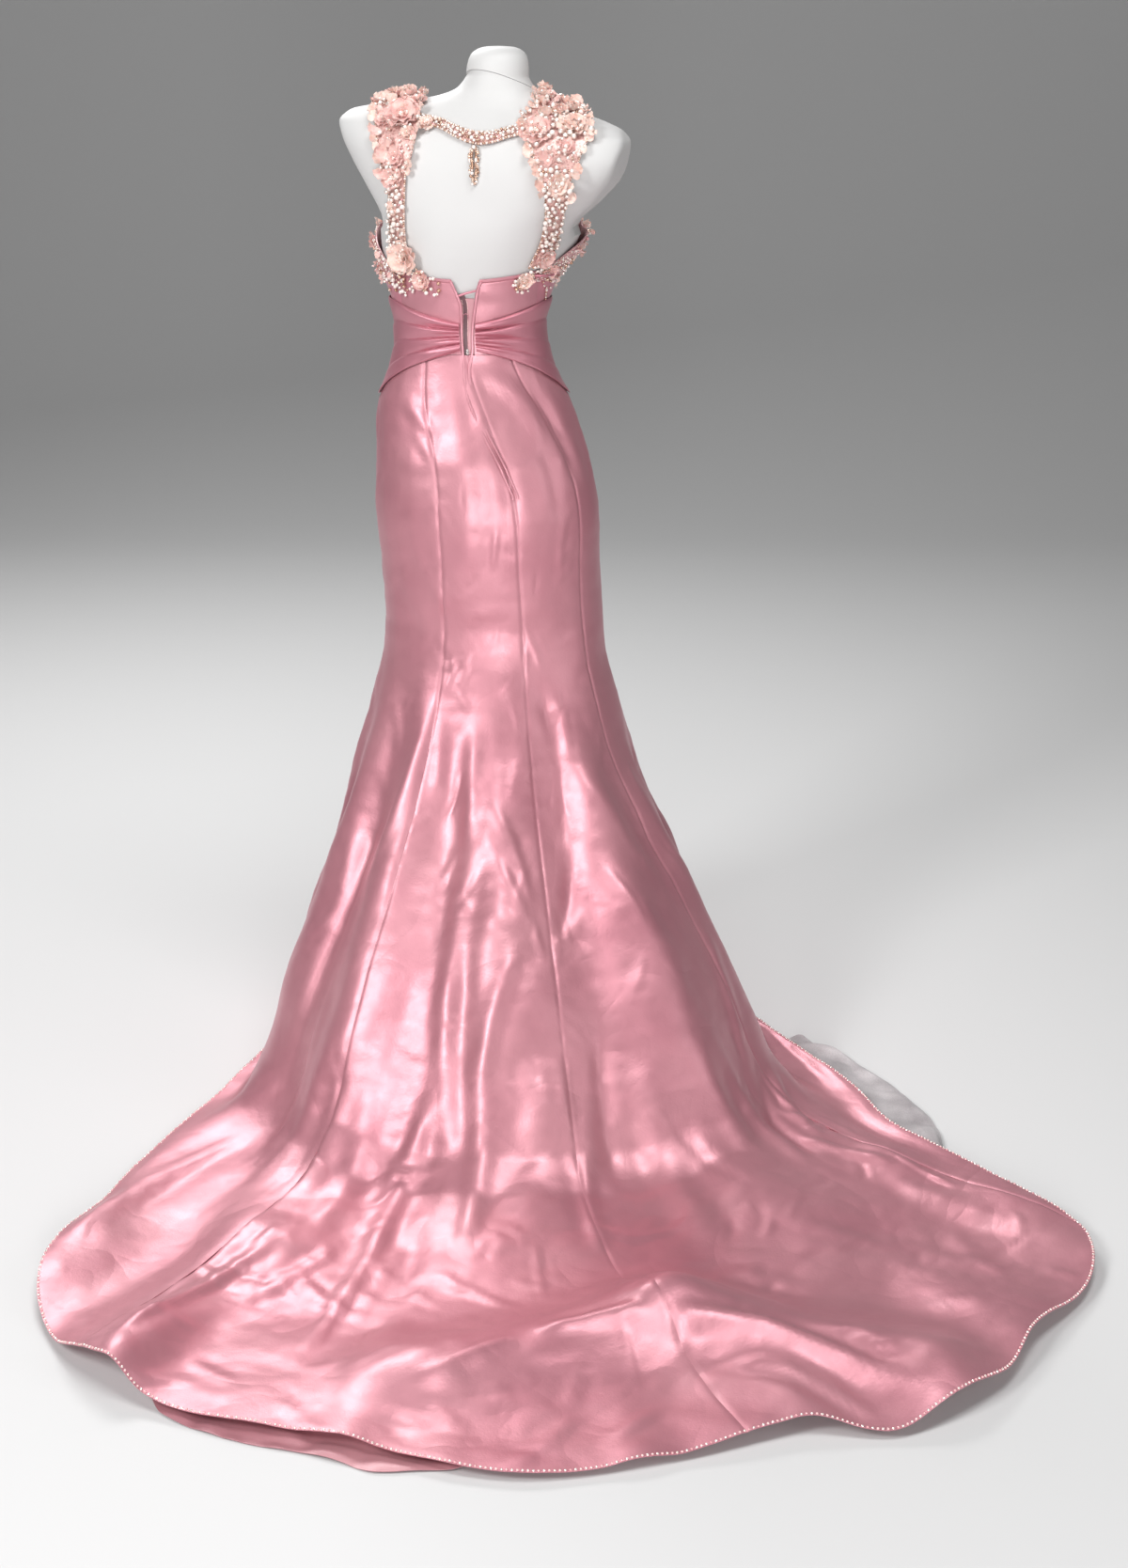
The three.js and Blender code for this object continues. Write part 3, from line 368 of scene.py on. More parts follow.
def train_lift(point, bearing, level):
    """How far the train's ridges and the waves of its hem stand off the floor."""
    lift = np.zeros(point.shape[:-1])
    for ridge in rows_of(RIDGES):
        dx = ridge.x2 - ridge.x1
        dy = ridge.y2 - ridge.y1
        along = ((point[..., 0] - ridge.x1) * dx + (point[..., 1] - ridge.y1) * dy) / (dx * dx + dy * dy)
        t = np.clip(along, 0, 1)
        away = np.hypot(point[..., 0] - ridge.x1 - dx * t, point[..., 1] - ridge.y1 - dy * t)
        lift += ridge.height * bell(away, ridge.width)
    for wave in rows_of(HEM_WAVES):
        lift += wave.height * bell(wrap(bearing - wave.bearing), wave.width) * smooth(level, 2.45, 3)
    return lift * smooth(level, 2, 2.3)


def skirt(bearing, level, relief=0.0):
    """The satin's outer surface, with a relief along its normal."""
    bearing, level = np.broadcast_arrays(np.asarray(bearing, float), np.asarray(level, float))
    point = skirt_base(bearing, level)
    normal = skirt_normal(bearing, level)
    lift = train_lift(point, bearing, level)
    point = point + normal * (fold_height(bearing, level) + relief)[..., None]
    point[..., 2] = np.maximum(point[..., 2] + lift, CLOTH + 0.4)
    return point


def seam_bearing(name, level):
    if name in FRONT_SEAMS:
        return np.full(np.shape(level), float(FRONT_SEAMS[name]))
    return read(SEAMS, "level", level, name)


# Meshes

CLOTH = 1.2                   # thickness of the satin as it shows
SEAM_GAP = 0.3                # between two pieces that are sewn together


def mesh_object(name, points, faces, material, uv=None, flat=False, sharp=50):
    """An object from points in millimetres and an array of faces of one size."""
    faces = np.asarray(faces)
    size = faces.shape[1]
    mesh = bpy.data.meshes.new(name)
    mesh.vertices.add(len(points))
    mesh.vertices.foreach_set("co", (np.asarray(points, float) * MM).astype(np.float32).ravel())
    mesh.loops.add(faces.size)
    mesh.loops.foreach_set("vertex_index", faces.astype(np.int32).ravel())
    mesh.polygons.add(len(faces))
    mesh.polygons.foreach_set("loop_start", np.arange(0, faces.size, size, dtype=np.int32))
    mesh.update(calc_edges=True)
    mesh.validate()
    if uv is not None:
        layer = mesh.uv_layers.new(name="cloth")
        layer.data.foreach_set("uv", (uv[faces.ravel()] * MM).astype(np.float32).ravel())
    if not flat:
        mesh.shade_smooth()
        mesh.set_sharp_from_angle(angle=math.radians(sharp))
    mesh.materials.append(material)
    piece = bpy.data.objects.new(name, mesh)
    bpy.context.scene.collection.objects.link(piece)
    return piece


def place(piece, slot, *nodes):
    """Puts a piece on the part's one body, in place of the nodes that it stands for."""
    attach(piece, "root")
    if nodes:
        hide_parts(*nodes)
    return piece


def grid_faces(rows, columns, start=0):
    """Four-sided faces of a grid of points."""
    r, c = np.meshgrid(np.arange(rows - 1), np.arange(columns - 1), indexing="ij")
    a = start + r * columns + c
    return np.stack([a, a + 1, a + columns + 1, a + columns], -1).reshape(-1, 4)


def grid_normals(grid):
    """The direction square to a grid at each of its points."""
    along = np.gradient(grid, axis=0)
    across = np.gradient(grid, axis=1)
    return unit(np.cross(across, along))


def grid_lengths(grid):
    """Distance across and along the cloth of each point of a grid."""
    across = np.zeros(grid.shape[:2])
    along = np.zeros(grid.shape[:2])
    across[:, 1:] = np.cumsum(np.linalg.norm(np.diff(grid, axis=1), axis=-1), axis=1)
    along[1:] = np.cumsum(np.linalg.norm(np.diff(grid, axis=0), axis=-1), axis=0)
    return np.stack([across - across[:, -1:] / 2, along], -1)


def wall_faces(rows, columns):
    """Faces of a closed thin wall: the outer grid, the inner grid and the rim."""
    count = rows * columns
    front = grid_faces(rows, columns)
    back = grid_faces(rows, columns, count)[:, ::-1]
    left = np.arange(rows) * columns
    right = left + columns - 1
    bottom = np.arange(columns)
    top = bottom + (rows - 1) * columns

    def rim(edge):
        a, b = edge[:-1], edge[1:]
        return np.stack([a, a + count, b + count, b], -1)

    return np.concatenate([front, back, rim(bottom)[:, ::-1], rim(top), rim(left), rim(right)[:, ::-1]])


def sheet_object(name, outer, inner, material, floor=None):
    """A thin closed shell between two grids of points; the inner one may be given as a thickness."""
    normals = grid_normals(outer)
    if np.isscalar(inner):
        inner = outer - normals * inner
    if floor is not None:
        inner[..., 2] = np.maximum(inner[..., 2], floor)
    rows, columns = outer.shape[:2]
    points = np.concatenate([outer.reshape(-1, 3), inner.reshape(-1, 3)])
    uv = np.tile(grid_lengths(outer).reshape(-1, 2), (2, 1))
    faces = wall_faces(rows, columns)
    if facing_in(outer, normals):
        faces = faces[:, ::-1]
    return mesh_object(name, points, faces, material, uv=uv)


def facing_in(outer, normals):
    """Whether a grid's own normals point to the inside, so that its faces have to be turned."""
    r, c = np.array(outer.shape[:2]) // 2
    a = outer[r, c + 1] - outer[r, c]
    b = outer[r + 1, c] - outer[r, c]
    return np.dot(np.cross(a, b), normals[r, c]) < 0


# Materials

SATIN = (0.61, 0.268, 0.314, 1)
SATIN_DEEP = (0.52, 0.2, 0.248, 1)


def material(name, colour, roughness, metallic=0.0, **others):
    """A material with its tree and its shader; others are more of the shader's inputs."""
    made = bpy.data.materials.new(name)
    made.use_nodes = True
    shader = made.node_tree.nodes["Principled BSDF"]
    inputs = {"Base Color": colour, "Roughness": roughness, "Metallic": metallic, **others}
    for key, value in inputs.items():
        shader.inputs[key.replace("_", " ")].default_value = value
    return made, made.node_tree, shader


def node(tree, kind, **settings):
    """A node with its inputs and settings, an input's spaces written as underscores."""
    made = tree.nodes.new(kind)
    for name, value in settings.items():
        socket = name.replace("_", " ")
        if socket in made.inputs:
            made.inputs[socket].default_value = value
        else:
            setattr(made, name, value)
    return made


def object_place(tree):
    return node(tree, "ShaderNodeTexCoord").outputs["Object"]


def object_noise(tree, scale, detail=3.0, rough=0.55):
    """Noise in the part's own frame."""
    noise = node(tree, "ShaderNodeTexNoise", Scale=scale, Detail=detail, Roughness=rough)
    tree.links.new(object_place(tree), noise.inputs["Vector"])
    return noise.outputs["Fac"]


def weave_noise(tree, stretch):
    """Noise drawn out along the cloth's own directions."""
    mapping = node(tree, "ShaderNodeMapping", Scale=stretch)
    tree.links.new(node(tree, "ShaderNodeTexCoord").outputs["UV"], mapping.inputs["Vector"])
    noise = node(tree, "ShaderNodeTexNoise", Scale=1.0, Detail=2.0, Roughness=0.5)
    tree.links.new(mapping.outputs["Vector"], noise.inputs["Vector"])
    return noise.outputs["Fac"]


def colour_ramp(tree, source, target, low, high, start=0.3, end=0.7):
    """Colours a target between two tones, by a source from 0 to 1."""
    ramp = node(tree, "ShaderNodeValToRGB")
    ramp.color_ramp.elements[0].position = start
    ramp.color_ramp.elements[0].color = low
    ramp.color_ramp.elements[1].position = end
    ramp.color_ramp.elements[1].color = high
    tree.links.new(source, ramp.inputs["Fac"])
    tree.links.new(ramp.outputs["Color"], target)


def add_bumps(tree, shader, *bumps):
    """Layers of bump, one on the other: each a source, a strength and a distance in metres."""
    previous = None
    for source, strength, distance in bumps:
        bump = node(tree, "ShaderNodeBump", Strength=strength, Distance=distance)
        tree.links.new(source, bump.inputs["Height"])
        if previous is not None:
            tree.links.new(previous.outputs["Normal"], bump.inputs["Normal"])
        previous = bump
    tree.links.new(previous.outputs["Normal"], shader.inputs["Normal"])


def range_of(tree, source, low, high, **others):
    ranged = node(tree, "ShaderNodeMapRange", To_Min=low, To_Max=high, **others)
    tree.links.new(source, ranged.inputs["Value"])
    return ranged.outputs["Result"]


def roughen(tree, shader, source, low, high):
    tree.links.new(range_of(tree, source, low, high), shader.inputs["Roughness"])


def by_height(tree, low, high, below, above):
    """A smooth change from one value to another between two heights in metres."""
    parts = node(tree, "ShaderNodeSeparateXYZ")
    tree.links.new(object_place(tree), parts.inputs["Vector"])
    return range_of(tree, parts.outputs["Z"], below, above, From_Min=low, From_Max=high,
                    interpolation_type="SMOOTHSTEP")


def product(tree, first, second):
    made = node(tree, "ShaderNodeMath", operation="MULTIPLY")
    tree.links.new(first, made.inputs[0])
    tree.links.new(second, made.inputs[1])
    return made.outputs["Value"]


def crease_lines(tree, scale, detail, seed):
    """Long creases that wander over the cloth: sharp where a slow noise crosses its middle value."""
    moved = node(tree, "ShaderNodeVectorMath", operation="ADD")
    moved.inputs[1].default_value = (seed, seed * 0.7, seed * 0.4)
    tree.links.new(object_place(tree), moved.inputs[0])
    noise = node(tree, "ShaderNodeTexNoise", Scale=scale, Detail=detail, Roughness=0.45, Distortion=0.5)
    tree.links.new(moved.outputs["Vector"], noise.inputs["Vector"])
    middle = node(tree, "ShaderNodeMath", operation="SUBTRACT")
    middle.inputs[1].default_value = 0.5
    tree.links.new(noise.outputs["Fac"], middle.inputs[0])
    size = node(tree, "ShaderNodeMath", operation="ABSOLUTE")
    tree.links.new(middle.outputs["Value"], size.inputs[0])
    return product(tree, size.outputs["Value"], by_height(tree, 0.15, 0.75, 1.0, 0.12))


def satin_material(name="satin", colour=SATIN, deep=SATIN_DEEP, roughness=0.43, metallic=0.52):
    """Duchess satin: a strong soft sheen along the floats of the weave, with fine pressed marks."""
    made, tree, shader = material(
        name, colour, roughness, metallic, Anisotropic=0.35, Specular_IOR_Level=0.9,
        Specular_Tint=(1, 0.95, 0.94, 1), Sheen_Weight=0.1, Sheen_Roughness=0.4,
        Sheen_Tint=(1, 0.7, 0.78, 1), Coat_Weight=0.35, Coat_Roughness=0.3)
    tangent = node(tree, "ShaderNodeTangent", direction_type="UV_MAP", uv_map="cloth")
    tree.links.new(tangent.outputs["Tangent"], shader.inputs["Tangent"])
    colour_ramp(tree, object_noise(tree, 5.0, 4.0), shader.inputs["Base Color"], deep, colour)
    slubs = object_noise(tree, 55.0, 5.0, 0.6)
    roughen(tree, shader, slubs, roughness - 0.08, roughness + 0.1)
    add_bumps(
        tree, shader,
        (object_noise(tree, 24.0, 4.0), 0.2, 0.003),
        (crease_lines(tree, 4.5, 2.0, 1.0), 0.5, 0.02),
        (crease_lines(tree, 11.0, 1.0, 4.0), 0.35, 0.008),
        (slubs, 0.25, 0.0012),
        (object_noise(tree, 340.0, 3.0, 0.6), 0.35, 0.0005),
        (weave_noise(tree, (2200, 260, 1)), 0.12, 0.0003))
    return made


def lace_material(name, thread, ground, plain_below=0.0):
    """Satin under beaded lace: small raised cells in a paler thread, down to a height in metres."""
    made, tree, shader = material(name, thread, 0.42, 0.25, Sheen_Weight=0.2)
    cells = node(tree, "ShaderNodeTexVoronoi", Scale=230.0, feature="DISTANCE_TO_EDGE")
    tree.links.new(object_place(tree), cells.inputs["Vector"])
    motif = object_noise(tree, 45.0)
    worked = by_height(tree, plain_below, plain_below + 0.012, 0.0, 1.0)
    mixed = node(tree, "ShaderNodeMixRGB", Color1=ground)
    tree.links.new(worked, mixed.inputs["Fac"])
    colour_ramp(tree, cells.outputs["Distance"], mixed.inputs["Color2"], thread, ground, 0.05, 0.3)
    tree.links.new(mixed.outputs["Color"], shader.inputs["Base Color"])
    add_bumps(
        tree, shader,
        (product(tree, cells.outputs["Distance"], worked), -0.6, 0.0015),
        (product(tree, motif, worked), 0.5, 0.003))
    return made


def form_material():
    made, tree, shader = material("form_white", (0.58, 0.575, 0.57, 1), 0.55)
    tone = object_noise(tree, 3.5)
    colour_ramp(tree, tone, shader.inputs["Base Color"], (0.56, 0.555, 0.55, 1), (0.60, 0.595, 0.59, 1))
    roughen(tree, shader, tone, 0.55, 0.7)
    add_bumps(tree, shader, (object_noise(tree, 420.0, 2.0), 0.08, 0.0006))
    return made


def petal_material(name, low, high):
    """Thin silk organza: pale, soft, with light passing through and a tone that varies at random."""
    made, tree, shader = material(name, high, 0.45, Subsurface_Weight=0.25, Sheen_Weight=0.4,
                                  Subsurface_Radius=(0.004, 0.002, 0.0015))
    colour_ramp(tree, object_noise(tree, 60.0), shader.inputs["Base Color"], low, high, 0.35, 0.62)
    veins = object_noise(tree, 420.0)
    roughen(tree, shader, veins, 0.36, 0.52)
    add_bumps(tree, shader, (veins, 0.3, 0.001))
    return made


def bead_material(name, low, high, roughness, metallic=0.0):
    made, tree, shader = material(name, high, roughness, metallic, Coat_Weight=0.6, Coat_Roughness=0.08)
    tone = object_noise(tree, 130.0, 1.0)
    colour_ramp(tree, tone, shader.inputs["Base Color"], low, high, 0.4, 0.6)
    roughen(tree, shader, tone, roughness * 0.7, roughness * 1.4)
    return made


def crystal_material():
    made, tree, shader = material("crystal", (0.95, 0.88, 0.84, 1), 0.08, 0.45,
                                  Coat_Weight=1.0, Coat_Roughness=0.03)
    tone = object_noise(tree, 160.0, 1.0)
    colour_ramp(tree, tone, shader.inputs["Base Color"], (0.86, 0.70, 0.62, 1), (1, 0.96, 0.92, 1))
    roughen(tree, shader, tone, 0.05, 0.14)
    return made


def net_material():
    """Stiff net: seen half through; lighter on its raised crumples and darker in their hollows, which is
    painted light and painted shade.
    """
    made, tree, shader = material("net_grey", (0.48, 0.43, 0.44, 1), 0.7, Sheen_Weight=0.3)
    tone = object_noise(tree, 16.0, 4.0, 0.5)
    # the same noise gives the colour and the bump: painted shade in the hollows of the crumples, painted
    # light on their tops
    colour_ramp(tree, tone, shader.inputs["Base Color"], (0.36, 0.33, 0.34, 1), (0.64, 0.60, 0.61, 1))
    fine = object_noise(tree, 700.0, 1.0)
    tree.links.new(range_of(tree, fine, 0.5, 0.95), shader.inputs["Alpha"])
    add_bumps(tree, shader, (tone, 0.6, 0.004))
    return made


def metal_material():
    made, tree, shader = material("painted_grey", (0.45, 0.45, 0.47, 1), 0.38, 0.6)
    tone = object_noise(tree, 40.0, 4.0)
    roughen(tree, shader, tone, 0.3, 0.48)
    add_bumps(tree, shader, (tone, 0.05, 0.001))
    return made


MATERIALS = SimpleNamespace(
    satin=satin_material(),
    sash=satin_material("sash_satin", (0.57, 0.22, 0.275, 1), (0.49, 0.17, 0.22, 1), 0.4, 0.5),
    lining=satin_material("lining_satin", (0.54, 0.25, 0.28, 1), (0.46, 0.19, 0.225, 1), 0.5, 0.2),
    # shade: a near-black satin whose colour is painted shade, for the sheet in the zip gap
    shade=satin_material("inner_shade", (0.12, 0.03, 0.045, 1), (0.08, 0.02, 0.03, 1), 0.6, 0.0),
    lace=lace_material("beaded_lace", (0.76, 0.47, 0.46, 1), (0.56, 0.21, 0.265, 1), plain_below=1.222),
    strap_lace=lace_material("strap_lace", (0.76, 0.50, 0.46, 1), (0.56, 0.29, 0.27, 1)),
    form=form_material(),
    blush=petal_material("petal_blush", (0.80, 0.52, 0.45, 1), (0.88, 0.69, 0.62, 1)),
    rose=petal_material("petal_rose", (0.74, 0.41, 0.38, 1), (0.86, 0.60, 0.55, 1)),
    pearl=bead_material("pearl", (0.80, 0.66, 0.60, 1), (0.92, 0.84, 0.80, 1), 0.16),
    pink_bead=bead_material("pink_bead", (0.72, 0.36, 0.38, 1), (0.88, 0.60, 0.58, 1), 0.2),
    champagne=bead_material("champagne_bead", (0.50, 0.29, 0.19, 1), (0.82, 0.61, 0.49, 1), 0.2, 0.6),
    crystal=crystal_material(),
    net=net_material(),
    metal=metal_material(),
)


# Dress form and its stand

STAND = SimpleNamespace(pole=14, base=150, height=14, edge=8)
FORM_SIDES = 96
NECK_CAP = SimpleNamespace(gap=0.4, height=42, lean_x=0.06, lean_y=0.12)
NECK_ROWS = table(
    "rise share",
    (0, 1),
    (10, 0.99),
    (20, 0.96),
    (30, 0.88),
    (37, 0.7),
    (41, 0.42),
    (42, 0),
)
FORM_TOP_Z = 1508
JOINT = SimpleNamespace(middle=1499.5, to_right=-8.5, to_back=17, fixed=1455)
SPINE = SimpleNamespace(depth=3.2, width=9, low=1150, high=1430)


def ring_faces(rows, columns):
    """Faces between closed rings of points."""
    r, c = np.meshgrid(np.arange(rows - 1), np.arange(columns), indexing="ij")
    a = r * columns + c
    b = r * columns + (c + 1) % columns
    return np.stack([a, b, b + columns, a + columns], -1).reshape(-1, 4)


def closed_rings(name, rings, material_used, shrink=(0.75, 0.5, 0.25, 0.02)):
    """A closed body from rings, its two ends filled by smaller and smaller rings."""
    def end(ring):
        middle = ring.mean(0)
        return [mix(middle, ring, share) for share in shrink]

    rows = [*end(rings[0])[::-1], *rings, *end(rings[-1])]
    columns = len(rings[0])
    across, along = np.meshgrid(np.arange(columns), np.arange(len(rows)))
    uv = np.stack([across, along], -1).reshape(-1, 2) * 2.0
    faces = ring_faces(len(rows), columns)
    return mesh_object(name, np.concatenate(rows), faces, material_used, uv=uv, sharp=42)


def joint_height(bearing):
    """The joint of the neck end: a flat cut, higher at the nape."""
    angle = np.radians(bearing)
    return JOINT.middle + JOINT.to_right * np.sin(angle) + JOINT.to_back * np.cos(angle)


def form_torso():
    """The torso of the form, with a shallow furrow down the back and a tilted neck end."""
    bearing = np.arange(FORM_SIDES) * 360 / FORM_SIDES
    heights = np.concatenate([np.linspace(FORM_BOTTOM_Z, 1400, 50), np.linspace(1403, FORM_TOP_Z, 44)])
    rings = []
    for z in heights:
        spine = SPINE.depth * bell(wrap(bearing), SPINE.width) * smooth(z, SPINE.low, SPINE.low + 90)
        spine = spine * (1 - smooth(z, SPINE.high - 90, SPINE.high))
        share = max(z - JOINT.fixed, 0) / (FORM_TOP_Z - JOINT.fixed)
        height = z + share * (joint_height(bearing) - FORM_TOP_Z)
        rings.append(figure(bearing, height, -read(FORM_INSET, "z", height, "inset") - spine, FORM_BUST))
    return place(closed_rings("dress_form", rings, MATERIALS.form), "form", "form_torso")


def neck_cap():
    """The end piece of the neck, rounded at the top and leaning a little."""
    bearing = np.arange(FORM_SIDES) * 360 / FORM_SIDES
    inset = read(FORM_INSET, "z", FORM_TOP_Z, "inset")
    middle = figure(bearing, FORM_TOP_Z, -inset).mean(0)
    foot = joint_height(bearing) + NECK_CAP.gap
    top = FORM_TOP_Z + NECK_CAP.gap + NECK_CAP.height
    rings = []
    shares = np.concatenate([[0, 0.01, 0.03], np.linspace(0.06, 0.86, 16), np.linspace(0.89, 0.995, 9)])
    for share in shares:
        z = mix(foot, top, share)
        rise = np.maximum(z - FORM_TOP_Z - NECK_CAP.gap, 0)
        ring = figure(bearing, np.minimum(z, FORM_TOP_Z), -inset - (0.7 if share == 0 else 0))
        ring = mix(middle, ring, read(NECK_ROWS, "rise", rise, "share")[:, None])
        ring[:, 0] += rise * NECK_CAP.lean_x
        ring[:, 1] += rise * NECK_CAP.lean_y
        ring[:, 2] = z
        rings.append(ring)
    place(closed_rings("form_neck_end", rings, MATERIALS.form), "form", "form_neck_cap")


def turned(name, profile, sides=72):
    """A round body from radius and height pairs."""
    angle = np.arange(sides) * 2 * math.pi / sides
    circle = np.stack([np.cos(angle), np.sin(angle), np.zeros(sides)], -1)
    points = np.concatenate([circle * r + [0, 0, z] for r, z in profile])
    return mesh_object(name, points, ring_faces(len(profile), sides), MATERIALS.metal, sharp=40)


def stand():
    """The pole and the round plate, which the skirt hides."""
    low = STAND.height + SEAM_GAP
    high = FORM_BOTTOM_Z - SEAM_GAP
    pole = turned("stand_post", [
        (0.1, low), (STAND.pole - 1, low), (STAND.pole, low + 1),
        (STAND.pole, high - 1), (STAND.pole - 1, high), (0.1, high),
    ])
    place(pole, "metal", "stand_pole")
    base = turned("stand_plate", [
        (0.1, 0), (STAND.base - 1, 0), (STAND.base, 1), (STAND.base, STAND.edge - 1.5),
        (STAND.base - 1.5, STAND.edge), (STAND.base * 0.6, STAND.height), (0.1, STAND.height),
    ])
    place(base, "metal", "stand_base")


dress_form = form_torso()
neck_cap()
stand()
form_tree = BVHTree.FromPolygons(
    [v.co.copy() for v in dress_form.data.vertices],
    [tuple(p.vertices) for p in dress_form.data.polygons])


# Skirt gores and their creases

GORES = records(
    "name start end columns step",
    ("skirt_side_back_left", "left", "back_left", 92, 8),
    ("skirt_back_left", "back_left", "centre_back", 100, 6.8),
    ("skirt_back_right", "centre_back", "back_right", 100, 6.8),
    ("skirt_side_back_right", "back_right", "right", 84, 8.5),
    ("skirt_side_front_right", "right", "front_right", 38, 11),
    ("skirt_front", "front_right", "front_left", 44, 11),
    ("skirt_side_front_left", "front_left", "left", 38, 11),
)
SEAM_ROLL = SimpleNamespace(depth=1.1, width=2.2)

# Creases and soft troughs, placed one by one on the cloth: both ends by bearing and level, bow to the
# side, width and height in millimetres, and how much steeper one flank is than the other.
CREASE_COLUMNS = "b1 l1 b2 l2 bow width height lean"
HIP_CREASES = table(
    CREASE_COLUMNS,
    (-47, 0.15, -22, 0.30, -5, 8, 2.2, 0.2),
    (-38, 0.26, -22, 0.38, -2, 6, 1.5, 0.2),
    (-41, 0.70, -21, 0.93, -3, 7, 1.6, 0),
    (-52, 0.77, -25, 1.06, 7, 10, 1.2, 0),
    (-20, 0.55, -27, 0.50, 0, 4, 0.8, 0),
    (-20, 0.63, -30, 0.58, 0, 4, 0.8, 0),
    (-20, 0.74, -30, 0.70, 0, 4, 0.9, 0),
    (-20, 0.83, -29, 0.78, 0, 4, 0.8, 0),
    (0, 0.05, 6, 0.30, 0, 9, 2.6, 0),
    (-11, 0.14, -12, 0.88, -12, 15, 2.2, 0),
    (10, 0.20, 12, 0.59, -1, 10, -2, 0),
    (10, 0.03, 38, 0.36, -16, 11, 4.0, 0.2),
    (33, 0.08, 56, 0.49, -14, 8, -3.6, -0.3),
    (36, 0.31, 37, 0.61, -3, 9, -1.6, 0),
    (86, 0.14, 76, 0.54, -7, 9, 1.8, 0),
    (35, 0.75, 51, 0.68, 0, 5, 1.2, 0),
    (33, 0.83, 49, 0.75, 0, 5, 1.2, 0),
    (45, 0.55, 40, 0.82, 9, 5, 0.8, 0),
    (5, 0.59, 2, 0.77, 1, 4, 1, 0),
)
KNEE_CREASES = table(
    CREASE_COLUMNS,
    (-54, 1.25, -39, 1.41, -4, 6, 1.8, 0),
    (-49, 1.44, -35, 1.51, 4, 6, 1.5, 0),
    (-47, 1.54, -37, 1.60, 5, 6, 1.5, 0),
    (-29, 1.22, -38, 1.73, -14, 9, 6, -0.2),
    (-36, 1.76, -33, 2.15, 12, 11, 7, -0.2),
    (-11, 1.10, -16, 1.19, -1, 5, 1.7, 0),
    (-16, 1.19, -9, 1.26, 0, 5, 1.7, 0),
    (-22, 1.24, -17, 1.51, 1, 8, 3, 0),
    (-15, 1.28, -13, 1.57, 3, 12, -3.5, 0),
    (-6, 1.27, -6, 1.62, 1, 9, 6, 0),
    (4, 1.11, 7, 1.56, -22, 13, 4, 0),
    (-1, 1.47, 10, 1.69, -12, 7, 4.5, 0.3),
    (0, 1.56, -3, 1.72, 3, 12, -4.5, 0),
    (21, 1.17, 22, 1.62, -18, 11, -8, -0.2),
    (24, 1.57, 14, 1.72, -7, 10, -7, 0),
    (31, 1.23, 29, 1.40, -3, 5, 3, 0),
    (33, 1.39, 50, 1.70, 12, 17, 7, 0),
    (14, 1.72, 19, 1.71, -6, 5, 3, 0),
)
FOOT_CREASES = table(
    CREASE_COLUMNS,
    (-42, 1.50, -42, 1.99, 7, 10, -8, 0),
    (-53, 1.54, -44, 1.93, -20, 10, 5, 0),
    (-46, 1.72, -52, 1.81, -3, 5, 3, 0),
    (-52, 1.81, -46, 1.79, 0, 5, 2.5, 0),
    (-6, 1.57, -8, 1.90, 4, 12, 8, 0),
    (-8, 1.86, -12, 2.32, 20, 12, 9, 0),
    (-3, 1.68, -2, 2.02, 12, 14, -9, 0),
    (2, 1.59, 9, 1.70, -2, 7, 5, 0),
    (8, 1.70, -1, 1.92, 18, 10, 7, 0),
    (0, 1.88, -2, 2.24, -2, 11, 8, 0),
    (-7, 1.90, -15, 2.14, 24, 9, 5, 0),
    (-11, 2.00, -4, 2.04, -9, 12, 1.6, 0),
    (6, 1.80, 1, 2.18, -2, 22, -8, 0),
    (21, 1.81, 18, 2.05, 10, 12, -8, 0),
    (25, 1.85, 24, 2.26, -10, 18, 10, 0),
    (29, 1.62, 35, 1.88, -26, 17, 7, 0),
    (35, 1.84, 38, 2.10, -3, 14, 7, 0),
    (29, 1.61, 34, 1.73, -7, 4, 2.5, 0.3),
    (32, 1.75, 27, 1.80, -2, 5, 2, 0),
    (28, 1.91, 30, 2.00, -4, 5, 1.5, 0),
    (56, 1.74, 47, 1.98, -12, 11, 5, -0.3),
    (51, 1.96, 46, 2.22, 20, 10, -8, 0.2),
    (57, 1.96, 49, 2.23, 12, 9, 7, 0),
    (12, 1.85, 12, 2.02, -4, 7, 3, 0),
    (-27, 1.86, -26, 2.2, 6, 16, -10, 0),
    (-20, 1.9, -19, 2.3, -8, 13, 8, 0),
    (15, 1.9, 13, 2.25, 6, 10, 7, 0),
    (42, 1.88, 43, 2.22, -8, 12, 8, 0),
)
